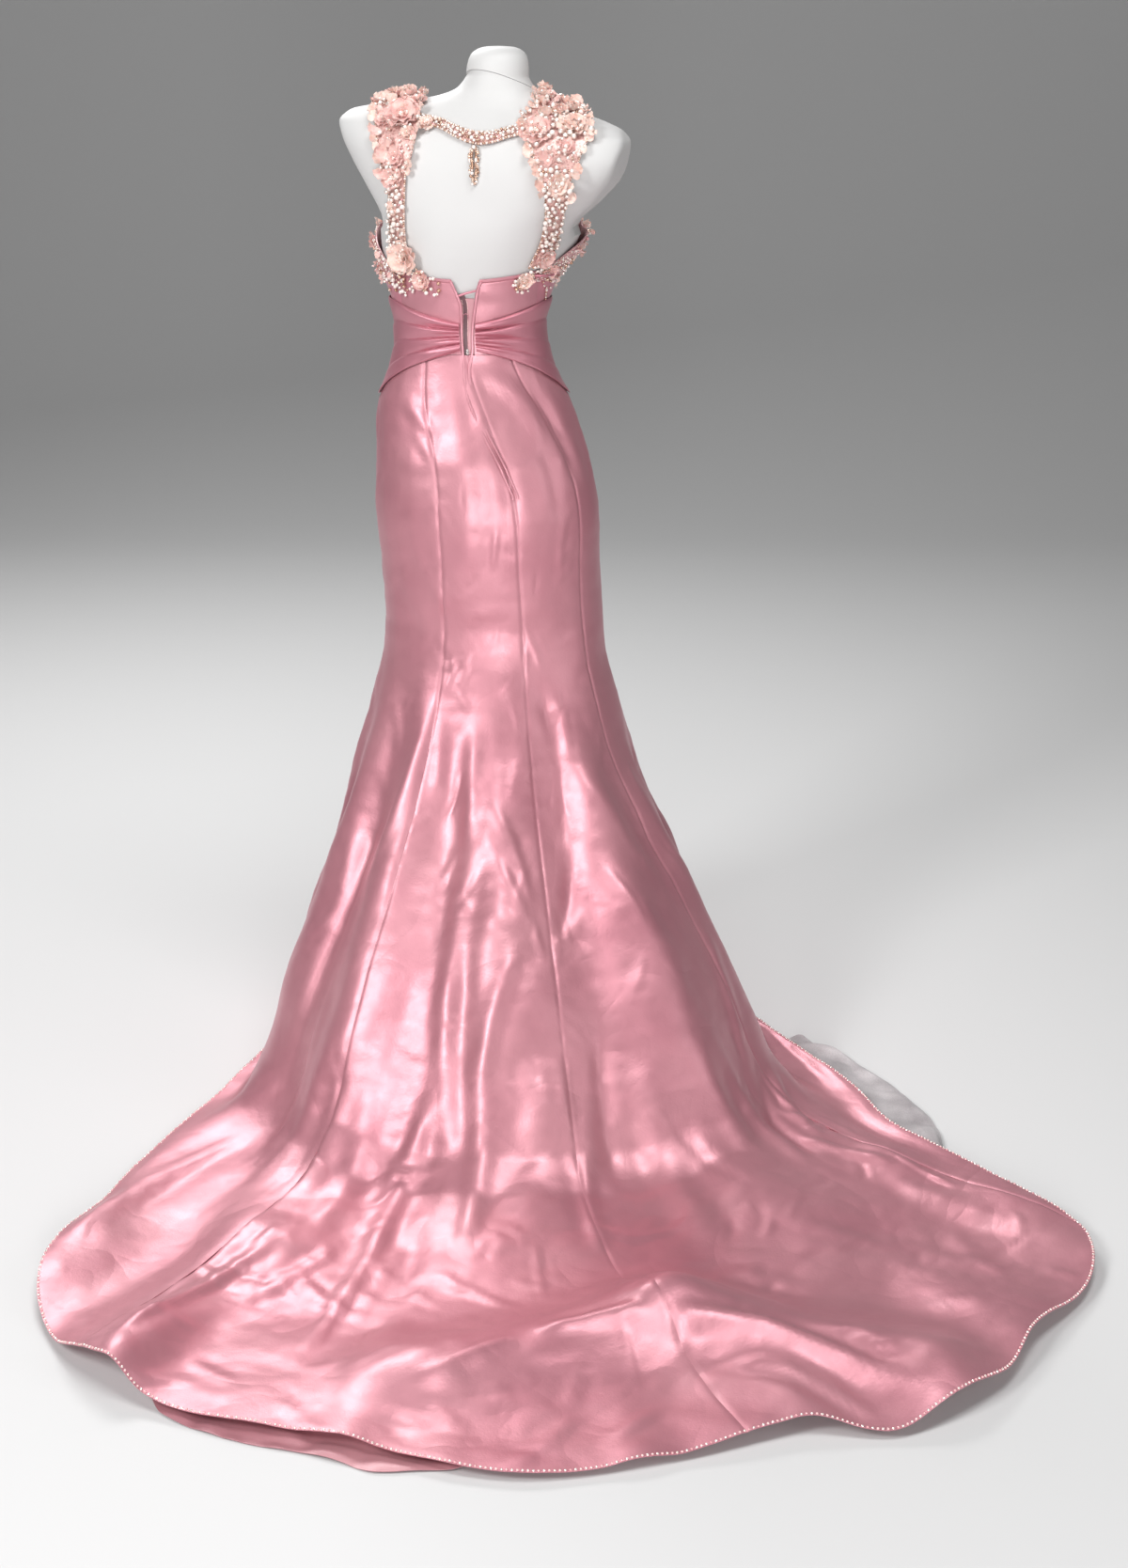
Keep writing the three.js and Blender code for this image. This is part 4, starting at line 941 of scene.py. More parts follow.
LEFT_TRAIN_CREASES = table(
    CREASE_COLUMNS,
    (-21, 2.30, -24, 3.00, 18, 9, 10, 0.3),
    (-15, 2.25, -20, 2.58, 0, 8, 4, 0),
    (-41, 2.05, -37, 2.92, 34, 11, 9, 0),
    (-43, 1.95, -46, 2.11, 14, 6, 3, 0),
    (-40, 2.12, -32, 2.90, -3, 24, 7, 0),
    (-26, 2.16, -24, 2.78, -28, 22, -8, 0),
    (-11, 2.03, -13, 2.81, -2, 10, 8, 0.2),
    (-8, 2.11, -10, 2.71, -18, 14, -8, 0),
    (-9, 2.77, -5, 2.64, 0, 6, 2.4, 0),
    (-4, 2.81, 4, 2.56, -11, 9, 7, 0.3),
    (-4, 2.30, -1, 2.37, 0, 6, 2.4, 0),
    (-2, 2.33, 4, 2.43, 0, 6, 2.4, 0),
    (6, 2.18, 6, 2.40, 0, 4, 2, 0.3),
    (-3, 2.80, 0, 2.91, 0, 7, 2.6, 0),
    (3, 2.80, 1, 2.70, 0, 7, 2.4, 0),
    (2, 3.00, 7, 2.80, 0, 8, 3, 0),
    (-20, 2.82, -15, 2.88, 0, 9, 3, 0),
    (-25, 2.80, -20, 2.72, 0, 7, 2.2, 0),
    (-14, 2.52, -14, 2.76, 0, 8, 2.6, 0),
    (-22, 3.00, -19, 2.90, 0, 6, 2.6, 0),
    (-32, 2.68, -30, 2.50, 0, 8, 2.4, 0),
    (-6, 2.88, -2, 2.90, 0, 8, 2.4, 0),
    (-17, 2.4, -9, 2.52, 10, 9, 3.4, 0.2),
    (-12, 2.9, -9, 3.0, 0, 7, 3, 0),
)
RIGHT_TRAIN_CREASES = table(
    CREASE_COLUMNS,
    (4, 2.57, 14, 2.60, -16, 10, 9, 0.3),
    (13, 2.60, 28, 2.99, -38, 11, 12, 0.3),
    (15, 2.71, 23, 2.96, -10, 14, -7, 0),
    (16, 2.75, 24, 3.00, -19, 9, 7, 0),
    (11, 2.56, 11, 2.78, -2, 4, 1.8, 0.3),
    (46, 2.10, 50, 2.42, -12, 8, 6, 0),
    (28, 1.91, 34, 2.18, 0, 7, -2.5, 0),
    (36, 2.53, 38, 2.70, 0, 7, 2.4, 0),
    (26, 2.74, 27, 2.86, 0, 9, 3.4, 0),
    (34, 2.70, 38, 2.87, 0, 7, 2.6, 0),
    (45, 2.58, 41, 2.80, 6, 12, 2.6, 0),
    (44, 2.88, 45, 2.98, 0, 6, 3, 0),
    (48, 2.34, 48, 2.84, 6, 14, 4.4, 0),
    (34, 2.32, 39, 2.56, 0, 10, 2.6, 0),
    (30, 2.86, 33, 2.97, 0, 9, 3.4, 0),
    (8, 2.64, 6, 2.80, 0, 8, 2.6, 0),
    (12, 2.83, 8, 2.92, 0, 8, 2.6, 0),
    (23, 2.34, 29, 2.50, 0, 12, 3, 0),
    (40, 2.6, 43, 2.86, 8, 12, 4, 0.2),
    (18, 2.45, 24, 2.62, -8, 12, 3, 0),
)
FAR_CREASES = table(
    CREASE_COLUMNS,
    (-96, 0.12, -78, 0.34, 5, 9, 2.4, 0.2),
    (-70, 0.42, -88, 0.6, -4, 8, 1.8, 0),
    (-104, 0.66, -80, 0.9, 6, 9, 1.8, 0.2),
    (102, 0.1, 120, 0.32, -6, 9, 2.4, 0.2),
    (138, 0.14, 158, 0.2, -6, 8, 2, 0),
    (168, 0.3, 196, 0.36, 8, 9, 1.8, 0.2),
    (206, 0.12, 224, 0.3, 6, 8, 2.2, 0),
    (238, 0.5, 256, 0.42, -5, 8, 1.8, 0),
    (110, 0.8, 128, 0.94, 6, 8, 1.8, 0),
    (226, 0.84, 206, 0.98, -7, 8, 1.8, 0),
    (152, 0.9, 172, 1.04, 8, 9, 2, 0),
    (-80, 1.3, -66, 1.86, 14, 11, 6, -0.2),
    (-98, 1.5, -92, 2.2, -12, 12, 7, 0),
    (72, 1.35, 66, 2.0, -14, 12, 6, 0.2),
    (98, 1.25, 92, 1.9, 10, 12, 7, 0),
    (116, 1.5, 124, 2.6, -16, 12, -7, 0),
    (132, 1.2, 136, 2.1, 12, 12, 6, 0),
    (152, 1.45, 150, 2.5, -12, 12, 7, 0),
    (166, 1.25, 176, 1.95, 14, 12, -6, 0),
    (188, 1.4, 184, 2.4, 10, 12, 6, 0),
    (206, 1.3, 212, 2.2, -14, 12, -7, 0),
    (222, 1.5, 228, 2.7, 10, 12, 6, 0),
    (244, 1.3, 238, 2.0, -10, 12, 7, 0),
    (256, 1.6, 262, 2.6, 8, 12, -6, 0),
)
# Small pressed creases, seeded: how many lie between two bearings and two levels, and their sizes.
CRUMPLES = table(
    "count b1 b2 l1 l2 length width height",
    (46, -60, 70, 0.1, 1.1, 46, 3.4, 0.55),
    (70, -60, 60, 1.1, 1.9, 62, 4.2, 1.1),
    (120, -40, 55, 1.9, 2.98, 84, 5, 1.7),
    (40, 70, 180, 0.15, 1.2, 50, 3.8, 0.6),
    (40, 180, 290, 0.15, 1.2, 50, 3.8, 0.6),
    (34, 60, 180, 1.2, 2.9, 70, 5, 1.3),
    (34, 180, 300, 1.2, 2.9, 70, 5, 1.3),
)


def crumple_creases(seed=17):
    """Rows for small creases: places, directions and sizes drawn at random within each zone."""
    rng = np.random.default_rng(seed)
    made = []
    for zone in rows_of(CRUMPLES):
        for _ in range(int(zone.count)):
            bearing = rng.uniform(zone.b1, zone.b2)
            level = rng.uniform(zone.l1, zone.l2)
            here = skirt_base(bearing, level)
            per_bearing = np.linalg.norm(skirt_base(bearing + 1, level) - here)
            per_level = np.linalg.norm(skirt_base(bearing, min(level + 0.02, 3)) - here) / 0.02 + 1
            length = zone.length * rng.uniform(0.5, 1.5)
            angle = rng.uniform(0, 2 * math.pi)
            end_level = np.clip(level + length * math.sin(angle) / per_level, 0.04, 3)
            height = zone.height * rng.uniform(0.4, 1.4) * rng.choice([-1, 1])
            made.append((bearing, level, bearing + length * math.cos(angle) / per_bearing, end_level,
                         length * rng.uniform(-0.12, 0.12), zone.width * rng.uniform(0.7, 1.3), height,
                         rng.uniform(-0.35, 0.35)))
    return table(CREASE_COLUMNS, *made)


# Each table with the share of its heights that is used.
CREASE_TABLES = [
    (1.0, HIP_CREASES),
    (0.62, KNEE_CREASES),
    (0.62, FOOT_CREASES),
    (0.75, LEFT_TRAIN_CREASES),
    (0.85, RIGHT_TRAIN_CREASES),
    (0.8, FAR_CREASES),
    (0.8, crumple_creases()),
]


CREASE_FORM = SimpleNamespace(samples=44, reach=4, rim=0.3, taper=0.3)


def crease_relief(points, creases):
    """Height that a table of creases adds at points of the skirt.

    A crease is a bell across its line with a low rim the other way on both sides, and fades at both ends.
    """
    samples = CREASE_FORM.samples
    relief = np.zeros(points.shape[:-1])
    flat_points = points.reshape(-1, 3)
    out = relief.reshape(-1)
    t = np.linspace(0, 1, samples)
    for crease in rows_of(creases):
        bearing = mix(crease.b1, crease.b2, t)
        level = mix(crease.l1, crease.l2, t)
        path = skirt_base(bearing, level)
        normal = skirt_normal(bearing, level)
        tangent = unit(np.gradient(path, axis=0))
        side = unit(np.cross(tangent, normal))
        path = path + side * (crease.bow * 4 * t * (1 - t))[:, None]
        margin = CREASE_FORM.reach * crease.width
        near = np.all((flat_points > path.min(0) - margin) & (flat_points < path.max(0) + margin), axis=1)
        if not near.any():
            continue
        chosen = flat_points[near]
        away = ((chosen[:, None] - path[None]) ** 2).sum(-1)
        closest = away.argmin(1)
        offset = chosen - path[closest]
        across = (offset * side[closest]).sum(-1)
        spacing = np.linalg.norm(path[-1] - path[0]) / (samples - 1)
        along = (closest + (offset * tangent[closest]).sum(-1) / spacing) / (samples - 1)
        width = crease.width * (1 + crease.lean * np.sign(across))
        rim = bell(np.abs(across) - 2 * crease.width, crease.width)
        profile = bell(across, width) - CREASE_FORM.rim * rim
        taper = smooth(along, 0, CREASE_FORM.taper) * (1 - smooth(along, 1 - CREASE_FORM.taper, 1))
        out[near] += crease.height * profile * taper
    return relief


HEM_ROWS = np.array([10.5, 8.5, 7, 5.5, 3.5, 1.8])         # rows of the mesh near the hem, up from it


def even_levels(bearing, step):
    """Levels about one step apart along the cloth."""
    fine = np.linspace(0, 3, 1500)
    path = skirt_base(np.full(1500, float(bearing)), fine)
    length = np.concatenate([[0], np.cumsum(np.linalg.norm(np.diff(path, axis=0), axis=-1))])
    count = int(length[-1] / step) + 1
    even = np.linspace(0, length[-1] - 13, count)
    return np.interp(np.concatenate([even, length[-1] - HEM_ROWS, length[-1:]]), length, fine)


def gore_columns(count):
    """Places across a gore, closer together at the two seams."""
    inner = np.linspace(0, 1, count)
    return inner - 0.099 * np.sin(2 * math.pi * inner)


def gore(row):
    """One gore of the skirt with its folds, creases and rolled seams."""
    back = 360 if row.start == "left" else 0
    middle = float(seam_bearing(row.end, 2.6)) + float(seam_bearing(row.start, 2.6) - back)
    level = even_levels(middle / 2, row.step)[:, None]
    start = seam_bearing(row.start, level) - back
    end = seam_bearing(row.end, level)
    per_degree = np.linalg.norm(skirt_base(start + 0.5, level) - skirt_base(start - 0.5, level), axis=-1)
    share = gore_columns(row.columns)[None]
    gap = SEAM_GAP / 2 / per_degree
    bearing = mix(start + gap, end - gap, share)
    base = skirt_base(bearing, np.broadcast_to(level, bearing.shape))
    from_seam = np.minimum(share, 1 - share) * (end - start) * per_degree
    roll = SEAM_ROLL.depth * bell(from_seam, SEAM_ROLL.width)
    level = np.broadcast_to(level, bearing.shape)
    relief = sum(used * crease_relief(base, creases) for used, creases in CREASE_TABLES) - roll
    swing = smooth(level, 0.9, 1.4) * (1 - 0.6 * smooth(level, 1.9, 2.2))
    relief += 0.9 * waves(base, 120, 3) * smooth(level, 0.1, 0.6) + 0.35 * waves(base, 38, 5)
    relief += 2.6 * waves(base * [1, 1, 0.35], 92, 8) * swing
    outer = skirt(bearing, level, relief)
    piece = sheet_object(row.name.replace("skirt", "satin"), outer, CLOTH, MATERIALS.satin, floor=0.3)
    place(piece, "satin", row.name)
    return outer


gore_grids = {row.name: gore(row) for row in GORES}


# Bodice

BODICE_TOP = table(
    "bearing z",
    (-180, 1292),
    (-150, 1316),
    (-120, 1300),
    (-90, 1272),
    (-60, 1244),
    (-30, 1235),
    (0, 1231),
    (30, 1236),
    (60, 1246),
    (90, 1272),
    (120, 1300),
    (150, 1316),
    (180, 1292),
)
OPENING = table(
    "z left right",
    (1120, -4.5, 3.5),
    (1170, -4, 3.4),
    (1192, -4.2, 3.6),
    (1213, -6, 4.6),
    (1240, -9.5, 8.5),
)
BODICE = records(
    "name start end columns material",
    ("bodice_back_left", -56, "left", 40, "satin"),
    ("bodice_back_right", "right", 56, 40, "satin"),
    ("bodice_side_right", 56, 112, 36, "lace"),
    ("bodice_front", 112, 248, 72, "lace"),
    ("bodice_side_left", 248, 304, 36, "lace"),
)
BODICE_TURN = 360 / (2 * math.pi * 105)                   # degrees of bearing in a millimetre
BACK_TOP_Z = 1235
BODICE_EDGE = SimpleNamespace(drop=5, lift=0.9)


def bodice_panel(row):
    """One panel of the bodice, with a rolled band along its top edge."""
    bottom = WAIST_Z + SEAM_GAP
    share = np.concatenate([np.linspace(0, 0.9, 26), np.linspace(0.915, 1, 14)])[:, None]
    across = np.linspace(0, 1, row.columns)[None]
    rough = mix(bottom, BACK_TOP_Z, share)

    def edge(value, side):
        if isinstance(value, str):
            return read(OPENING, "z", rough, value)
        return np.full(rough.shape, value + side * SEAM_GAP / 2 * BODICE_TURN)

    bearing = mix(edge(row.start, 1), edge(row.end, -1), across)
    top = read(BODICE_TOP, "bearing", wrap(bearing), "z")
    z = mix(bottom, top, share)
    below_top = top - z
    band = BODICE_EDGE.lift * (1 - smooth(below_top, BODICE_EDGE.drop - 0.8, BODICE_EDGE.drop))
    groove = -0.4 * bell(below_top - BODICE_EDGE.drop - 0.6, 0.8)
    base = figure(bearing, z)
    relief = 0.6 * waves(base * [1, 1, 2.2], 70, 11) + 0.25 * waves(base, 24, 12)
    outer = figure(bearing, z, band + groove + relief * smooth(below_top, 0, 20))
    piece = sheet_object(f"gown_{row.name}", outer, 1.4, getattr(MATERIALS, row.material))
    place(piece, "satin", row.name)


for panel in BODICE:
    bodice_panel(panel)


# Sash

SASH = table(
    "bearing top bottom bulge",
    (0, 1166, 1131, 3.5),
    (20, 1174, 1120, 3.5),
    (45, 1186, 1103, 3),
    (70, 1196, 1078, 2.6),
    (95, 1197, 1052, 2.6),
    (180, 1192, 1052, 2.6),
)
SASH_PARTS = records(
    "name start end columns",
    ("sash_back_left", -92, -5.6, 110),
    ("sash_back_right", 4.6, 92, 110),
    ("sash_front", 92, 268, 60),
)
SASH_LIFT = 1.3
SASH_WALL = 1.4
SASH_PLEATS = 4


def sash_part(row):
    """One part of the sash: soft pleats that are drawn together towards the zip."""
    share = np.linspace(0, 1, 80)[:, None]
    seam = SEAM_GAP / 2 * BODICE_TURN
    bearing = mix(row.start + seam, row.end - seam, np.linspace(0, 1, row.columns)[None])
    bearing, share = np.broadcast_arrays(bearing, share)
    around = np.abs(wrap(bearing))
    side = np.sign(wrap(bearing))
    top = read(SASH, "bearing", around, "top")
    bottom = read(SASH, "bearing", around, "bottom")
    bulge = read(SASH, "bearing", around, "bulge")
    drift = 0.10 * np.sin(np.radians(around * 2.3) + side) + 0.05 * np.sin(np.radians(around * 6) + 2 * side)
    phase = share * SASH_PLEATS + drift * np.sin(math.pi * share)
    crest = phase % 1
    falling = np.cos(math.pi / 2 * (crest - 0.8) / 0.2)
    ridge = np.where(crest < 0.8, np.sin(math.pi / 2 * crest / 0.8), falling)
    fade = mix(1.7, 0.6, smooth(around, 8, 75))
    rise = bulge * (np.abs(ridge) ** 0.7) * fade
    pinch = np.abs(np.sin(share * math.pi * 5 + 0.6 * side + around / 40))
    tight = (pinch - 0.6) * 0.75 * bulge * (1 - smooth(around, 6, 46))
    hem_stand = 2.2 * bell(share, 0.05)
    out = SASH_LIFT + SASH_WALL + rise + tight + hem_stand
    z = mix(bottom, top, share)
    base = figure(bearing, z, SASH_LIFT)
    out = out + 0.35 * waves(base, 45, 21)
    outer = figure(bearing, z, out)
    inner = figure(bearing, z, out - 1.0)
    piece = sheet_object(f"gown_{row.name}", outer, inner, MATERIALS.sash)
    place(piece, "satin", row.name)


for part in SASH_PARTS:
    sash_part(part)


# Bound edges of the zip, its tape and teeth, the slider and the hook

PLACKET = table(
    "z left right",
    (924, 13.8, 16.4),
    (976, 8.2, 10.8),
    (1025, 2.3, 5.1),
    (1066, -2, 1),
    (1100, -3.6, -0.4),
    (1131, -4.4, 2.2),
    (1170, -4.4, 3.4),
    (1192, -4.8, 4.4),
    (1213, -7, 6),
    (1232, -9.6, 9.2),
)
BINDING = SimpleNamespace(low=919, high=1229, width=4, wall=1.8, base=0.5)
ZIP = SimpleNamespace(gap=6.5, low=1122.6, high=1204, base=-2, tooth=1.1, pitch=1.9)
SLIDER = SimpleNamespace(bearing=-1.1, z=1127, thick=2.2)
HOOK = SimpleNamespace(z=1212, slant=7, height=3.4, thick=1.2)


def mm_per_degree(z):
    """Length of a degree of bearing across the back."""
    return 2 * math.pi * read(FIGURE, "z", z, "back") * 1.25 / 360


def binding(side):
    """The bound edge on one side of the zip."""
    z = np.linspace(BINDING.low, BINDING.high, 150)[:, None]
    u = np.linspace(-1, 1, 9)[None]
    bearing = read(PLACKET, "z", z, side) + u * BINDING.width / 2 / mm_per_degree(z)
    round_top = BINDING.wall * np.sqrt(np.maximum(1 - u**4, 0.04))
    pulled = 0.22 * np.sin(z / 5.2) * np.sin(z / 13) + 0.3 * np.sin(z / 31)
    outer = figure(bearing, z, BINDING.base + round_top + pulled)
    inner = figure(bearing, z, np.full(outer.shape[:2], BINDING.base - 0.1))
    piece = sheet_object(f"zip_binding_{side}", outer, inner, MATERIALS.satin)
    place(piece, "satin", f"placket_{side}")


def zip_tape():
    """The tape on the right of the slit."""
    z = np.linspace(ZIP.low, ZIP.high, 60)[:, None]
    left = read(OPENING, "z", z, "left") + ZIP.gap / mm_per_degree(z)
    right = read(OPENING, "z", z, "right") - SEAM_GAP / mm_per_degree(z)
    bearing = mix(left, right, np.linspace(0, 1, 7)[None])
    outer = figure(bearing, z, ZIP.base + 1.4 + 0.12 * np.sin(z * 2.1))
    piece = sheet_object("zip_cloth", outer, 1.2, MATERIALS.lining)
    place(piece, "satin", "zip_tape")


def zip_inner_cloth():
    """A near-black sheet inside the gap beside the tape: its colour is painted shade, for the shadow in the
    gap.
    """
    z = np.linspace(ZIP.low, ZIP.high + 6, 40)[:, None]
    left = read(OPENING, "z", z, "left") + 0.2 / mm_per_degree(z)
    right = left + (ZIP.gap + 0.4) / mm_per_degree(z)
    bearing = mix(left, right, np.linspace(0, 1, 5)[None])
    outer = figure(bearing, z, -2.5 + 0.1 * np.sin(z))
    piece = sheet_object("zip_inner_cloth", outer, 0.7, MATERIALS.shade)
    place(piece, "satin")


def zip_teeth():
    """Two rows of small teeth, the left under the bound edge and the right on the tape's edge."""
    z = np.arange(ZIP.low + 3, ZIP.high - 2, ZIP.pitch)
    left = read(OPENING, "z", z, "left") + 1.3 / mm_per_degree(z)
    right = read(OPENING, "z", z, "left") + (ZIP.gap + 0.5) / mm_per_degree(z)
    rows = [figure(left, z, ZIP.base + 1.2), figure(right, z + ZIP.pitch / 2, ZIP.base + 1.7)]
    beads("zip_teeth", np.concatenate(rows), ZIP.tooth * 0.72, MATERIALS.pink_bead, "metal")


def slider():
    """The slider, set with a few small stones; it has no pull tab."""
    middle = figure(SLIDER.bearing, SLIDER.z, BINDING.base + SLIDER.thick / 2)
    body = [middle + np.array([0, 0, step]) for step in (-2.6, 0, 2.6)]
    beads("zip_slider_body", body, [2.0, 2.3, 1.9], MATERIALS.metal, "metal", cells=4, nodes=["zip_slider"])
    stones = [(-1.2, -1.7, 2.8), (1.1, -1.7, 2.6), (0, -1.7, 0.4), (-0.9, -1.7, -2.1), (1, -1.7, -2.4)]
    beads("zip_slider_stones", middle + np.array(stones), 0.95, MATERIALS.crystal, "beads")


def hook_tab():
    """A narrow satin tab from one bound edge to the other, a little slanted; it stands for the hook, which is
    not made.
    """
    share = np.linspace(0, 1, 17)[None]
    u = np.linspace(-1, 1, 5)[:, None]
    z = HOOK.z + HOOK.slant * (share - 0.5) + u * HOOK.height / 2
    inside = BINDING.width / 2 + SEAM_GAP
    left = read(PLACKET, "z", z, "left") + inside / mm_per_degree(z)
    right = read(PLACKET, "z", z, "right") - inside / mm_per_degree(z)
    sag = 1.1 * np.sin(math.pi * share)
    outer = figure(mix(left, right, share), z, BINDING.base + HOOK.thick - sag + 0.4 * (1 - u**2))
    piece = sheet_object("hook_tab", outer, 0.9, MATERIALS.sash)
    place(piece, "beads", "hook")


def tube(name, path, radius, material_used, sides=8):
    """A round thread or wire along a path of points."""
    path = np.asarray(path, float)
    tangent = unit(np.gradient(path, axis=0))
    side = unit(np.cross(tangent, [0.13, 0.21, 0.97]))
    over = np.cross(tangent, side)
    angle = np.arange(sides) * 2 * math.pi / sides
    ring = side[:, None] * np.cos(angle)[None, :, None] + over[:, None] * np.sin(angle)[None, :, None]
    rings = list(path[:, None] + ring * radius)
    return closed_rings(name, rings, material_used, shrink=(0.6, 0.05))


def thread_loop():
    """The worked loop at the left edge that takes the hook."""
    angle = np.linspace(-0.6, math.pi + 0.6, 24)
    z = 1178 + 4.2 * np.sin(angle)
    bearing = -1.5 + 1.6 * np.cos(angle)
    piece = tube("thread_loop", figure(bearing, z, 1.0), 0.45, MATERIALS.sash)
    place(piece, "beads")


# Balls for pearls, beads and stones

def ball(cells):
    """Points and faces of a unit ball, from a cube with so many cells along each side."""
    line = np.tan(np.linspace(-0.25, 0.25, cells + 1) * math.pi)
    points = []
    faces = []
    for axis in range(3):
        for sign in (-1, 1):
            u, v = np.meshgrid(line, line, indexing="ij")
            side = np.empty((cells + 1, cells + 1, 3))
            side[..., axis] = sign
            side[..., (axis + 1) % 3] = u * sign
            side[..., (axis + 2) % 3] = v
            faces.append(grid_faces(cells + 1, cells + 1, len(points) * (cells + 1) ** 2)[:, ::-1])
            points.append(unit(side).reshape(-1, 3))
    merged, index = np.unique(np.round(np.concatenate(points), 5), axis=0, return_inverse=True)
    return merged, index.reshape(-1)[np.concatenate(faces)]


BALLS = {cells: ball(cells) for cells in (2, 3, 4)}


def beads(name, centres, radii, material_used, slot, cells=2, nodes=(), stretch=None):
    """One piece made of many small balls, each longer or flatter along its own direction."""
    shape, faces = BALLS[cells]
    centres = np.asarray(centres, float).reshape(-1, 3)
    radii = np.broadcast_to(radii, len(centres))
    points = shape[None] * radii[:, None, None]
    if stretch is not None:
        direction, share = stretch
        direction = unit(np.asarray(direction, float))[:, None]
        points = points + direction * (points * direction).sum(-1, keepdims=True) * (share - 1)
    points = points + centres[:, None]
    offsets = np.arange(len(centres)) * len(shape)
    all_faces = (faces[None] + offsets[:, None, None]).reshape(-1, 4)
    piece = mesh_object(name, points.reshape(-1, 3), all_faces, material_used, sharp=180)
    return place(piece, slot, *nodes)


for bound_side in ("left", "right"):
    binding(bound_side)
zip_tape()
zip_inner_cloth()
zip_teeth()
slider()
hook_tab()
thread_loop()


# Bands of beaded lace that lie on the form

BAND_GAP = 2.2                # between the bare form and what lies on it
BAND_WALL = 1.6
TURN_Z = 1385
STRAP_LEFT = table(
    "x z turn half",
    (-119, 1250, 0, 12),
    (-124, 1275, 0, 12),
    (-125, 1310, 0, 11),
    (-125, 1350, 0, 12),
    (-127, TURN_Z, 0, 18),
    (-126, TURN_Z, 22, 27),
    (-125, TURN_Z, 48, 33),
    (-124, TURN_Z, 72, 33),
    (-123, TURN_Z, 86, 32),
    (-122, TURN_Z, 99, 29),
    (-121, TURN_Z, 112, 27),
    (-120, TURN_Z, 125, 25),
    (-117, TURN_Z, 155, 21),
    (-114, TURN_Z, 180, 18),
    (-110, 1352, 180, 16),
    (-106, 1326, 180, 15),
)
STRAP_RIGHT = table(
    "x z turn half",
    (74, 1248, 0, 13),
    (90, 1285, 0, 12),
    (99, 1322, 0, 13),
    (103, 1355, 0, 17),
    (104, TURN_Z, 0, 25),
    (103, TURN_Z, 22, 38),
    (102, TURN_Z, 48, 50),
    (107, TURN_Z, 72, 38),
    (107, TURN_Z, 86, 34),
    (107, TURN_Z, 99, 30),
    (106, TURN_Z, 112, 27),
    (104, TURN_Z, 125, 25),
    (98, TURN_Z, 155, 21),
    (96, TURN_Z, 180, 18),
    (92, 1352, 180, 16),
    (88, 1326, 180, 15),
)
BRIDGE = table(
    "x z half",
    (-91.2, 1449, 6),
    (-75, 1447, 6),
    (-59, 1443, 6.5),
    (-46, 1437, 7),
    (-33, 1432, 7.5),
    (-20, 1428, 8),
    (-6, 1426, 8),
    (8, 1427, 7.5),
    (22, 1430, 7),
    (36, 1434, 6.5),
    (52, 1437, 6),
)
PENDANT = table(
    "share radius",
    (0, 2.4),
    (0.12, 4.6),
    (0.3, 6.6),
    (0.48, 4.8),
    (0.64, 5.8),
    (0.8, 3.8),
    (0.9, 3.2),
    (1, 1.6),
)


def on_form(x, z, turn):
    """Point of the form met from outside, at a turn over the shoulder from behind to in front."""
    lean = math.tan(math.radians(float(read(FIGURE, "z", z, "turn"))))
    middle = float(read(FIGURE, "z", z, "y")) + (x - float(read(FIGURE, "z", z, "x"))) * lean
    out = Vector((0, -math.cos(math.radians(turn)), math.sin(math.radians(turn))))
    hit = form_tree.ray_cast((Vector((x, middle, z)) + out * 500) * MM, -out)
    return np.array(hit[0]) / MM, np.array(hit[1])


def band_surface(rows, across, steps, upright=False, lift=BAND_GAP + BAND_WALL):
    """Points and outward directions of a band that lies on the form."""
    count = len(rows["x"])
    rows = dict(rows, row=np.arange(count), turn=rows.get("turn", np.zeros(count)))
    points = []
    away = []
    for at in np.linspace(0, count - 1, (count - 1) * steps + 1):
        x, z, turn, half = (float(read(rows, "row", at, column)) for column in ("x", "z", "turn", "half"))
        for u in np.linspace(-1, 1, across):
            point, normal = on_form(x + (0 if upright else half * u), z + (half * u if upright else 0), turn)
            points.append(point)
            away.append(normal)
    points = np.array(points).reshape(-1, across, 3)
    normals = grid_normals(points)
    if (normals * np.array(away).reshape(points.shape)).sum() < 0:
        normals = -normals
    return SimpleNamespace(points=points + normals * lift, normals=normals)


def on_surface(surface, along, across):
    """Points and outward directions at shares of a surface's length and width."""
    rows, columns = surface.points.shape[:2]
    r = np.clip(np.asarray(along, float), 0, 1) * (rows - 1)
    c = np.clip(np.asarray(across, float), 0, 1) * (columns - 1)
    i = np.minimum(r.astype(int), rows - 2)
    j = np.minimum(c.astype(int), columns - 2)
    fr = (r - i)[..., None]
    fc = (c - j)[..., None]

    def pick(values):
        near = mix(values[i, j], values[i, j + 1], fc)
        far = mix(values[i + 1, j], values[i + 1, j + 1], fc)
        return mix(near, far, fr)

    return pick(surface.points), unit(pick(surface.normals))


class BeadWork:
    """Beads of several kinds that make up one part of the applique."""

    KINDS = {"pearl": 3, "pink_bead": 2, "champagne": 2, "crystal": 2}

    def __init__(self, name, cells=None):
        self.name = name
        self.cells = cells
        self.centres = {kind: [] for kind in self.KINDS}
        self.radii = {kind: [] for kind in self.KINDS}

    def add(self, kind, centre, radius):
        self.centres[kind].append(centre)
        self.radii[kind].append(radius)

    def taken(self, centre, radius, share=0.88):
        for kind in self.KINDS:
            if self.centres[kind]:
                away = np.linalg.norm(np.array(self.centres[kind]) - centre, axis=1)
                if (away < (np.array(self.radii[kind]) + radius) * share).any():
                    return True
        return False

    def finish(self, nodes=()):
        for kind, cells in self.KINDS.items():
            if self.centres[kind]:
                beads(f"{self.name}_{kind}s", self.centres[kind], self.radii[kind],
                      getattr(MATERIALS, kind), "beads", cells=self.cells or cells, nodes=nodes)


WHOLE = (0, 1)
INSIDE = (0.03, 0.97)


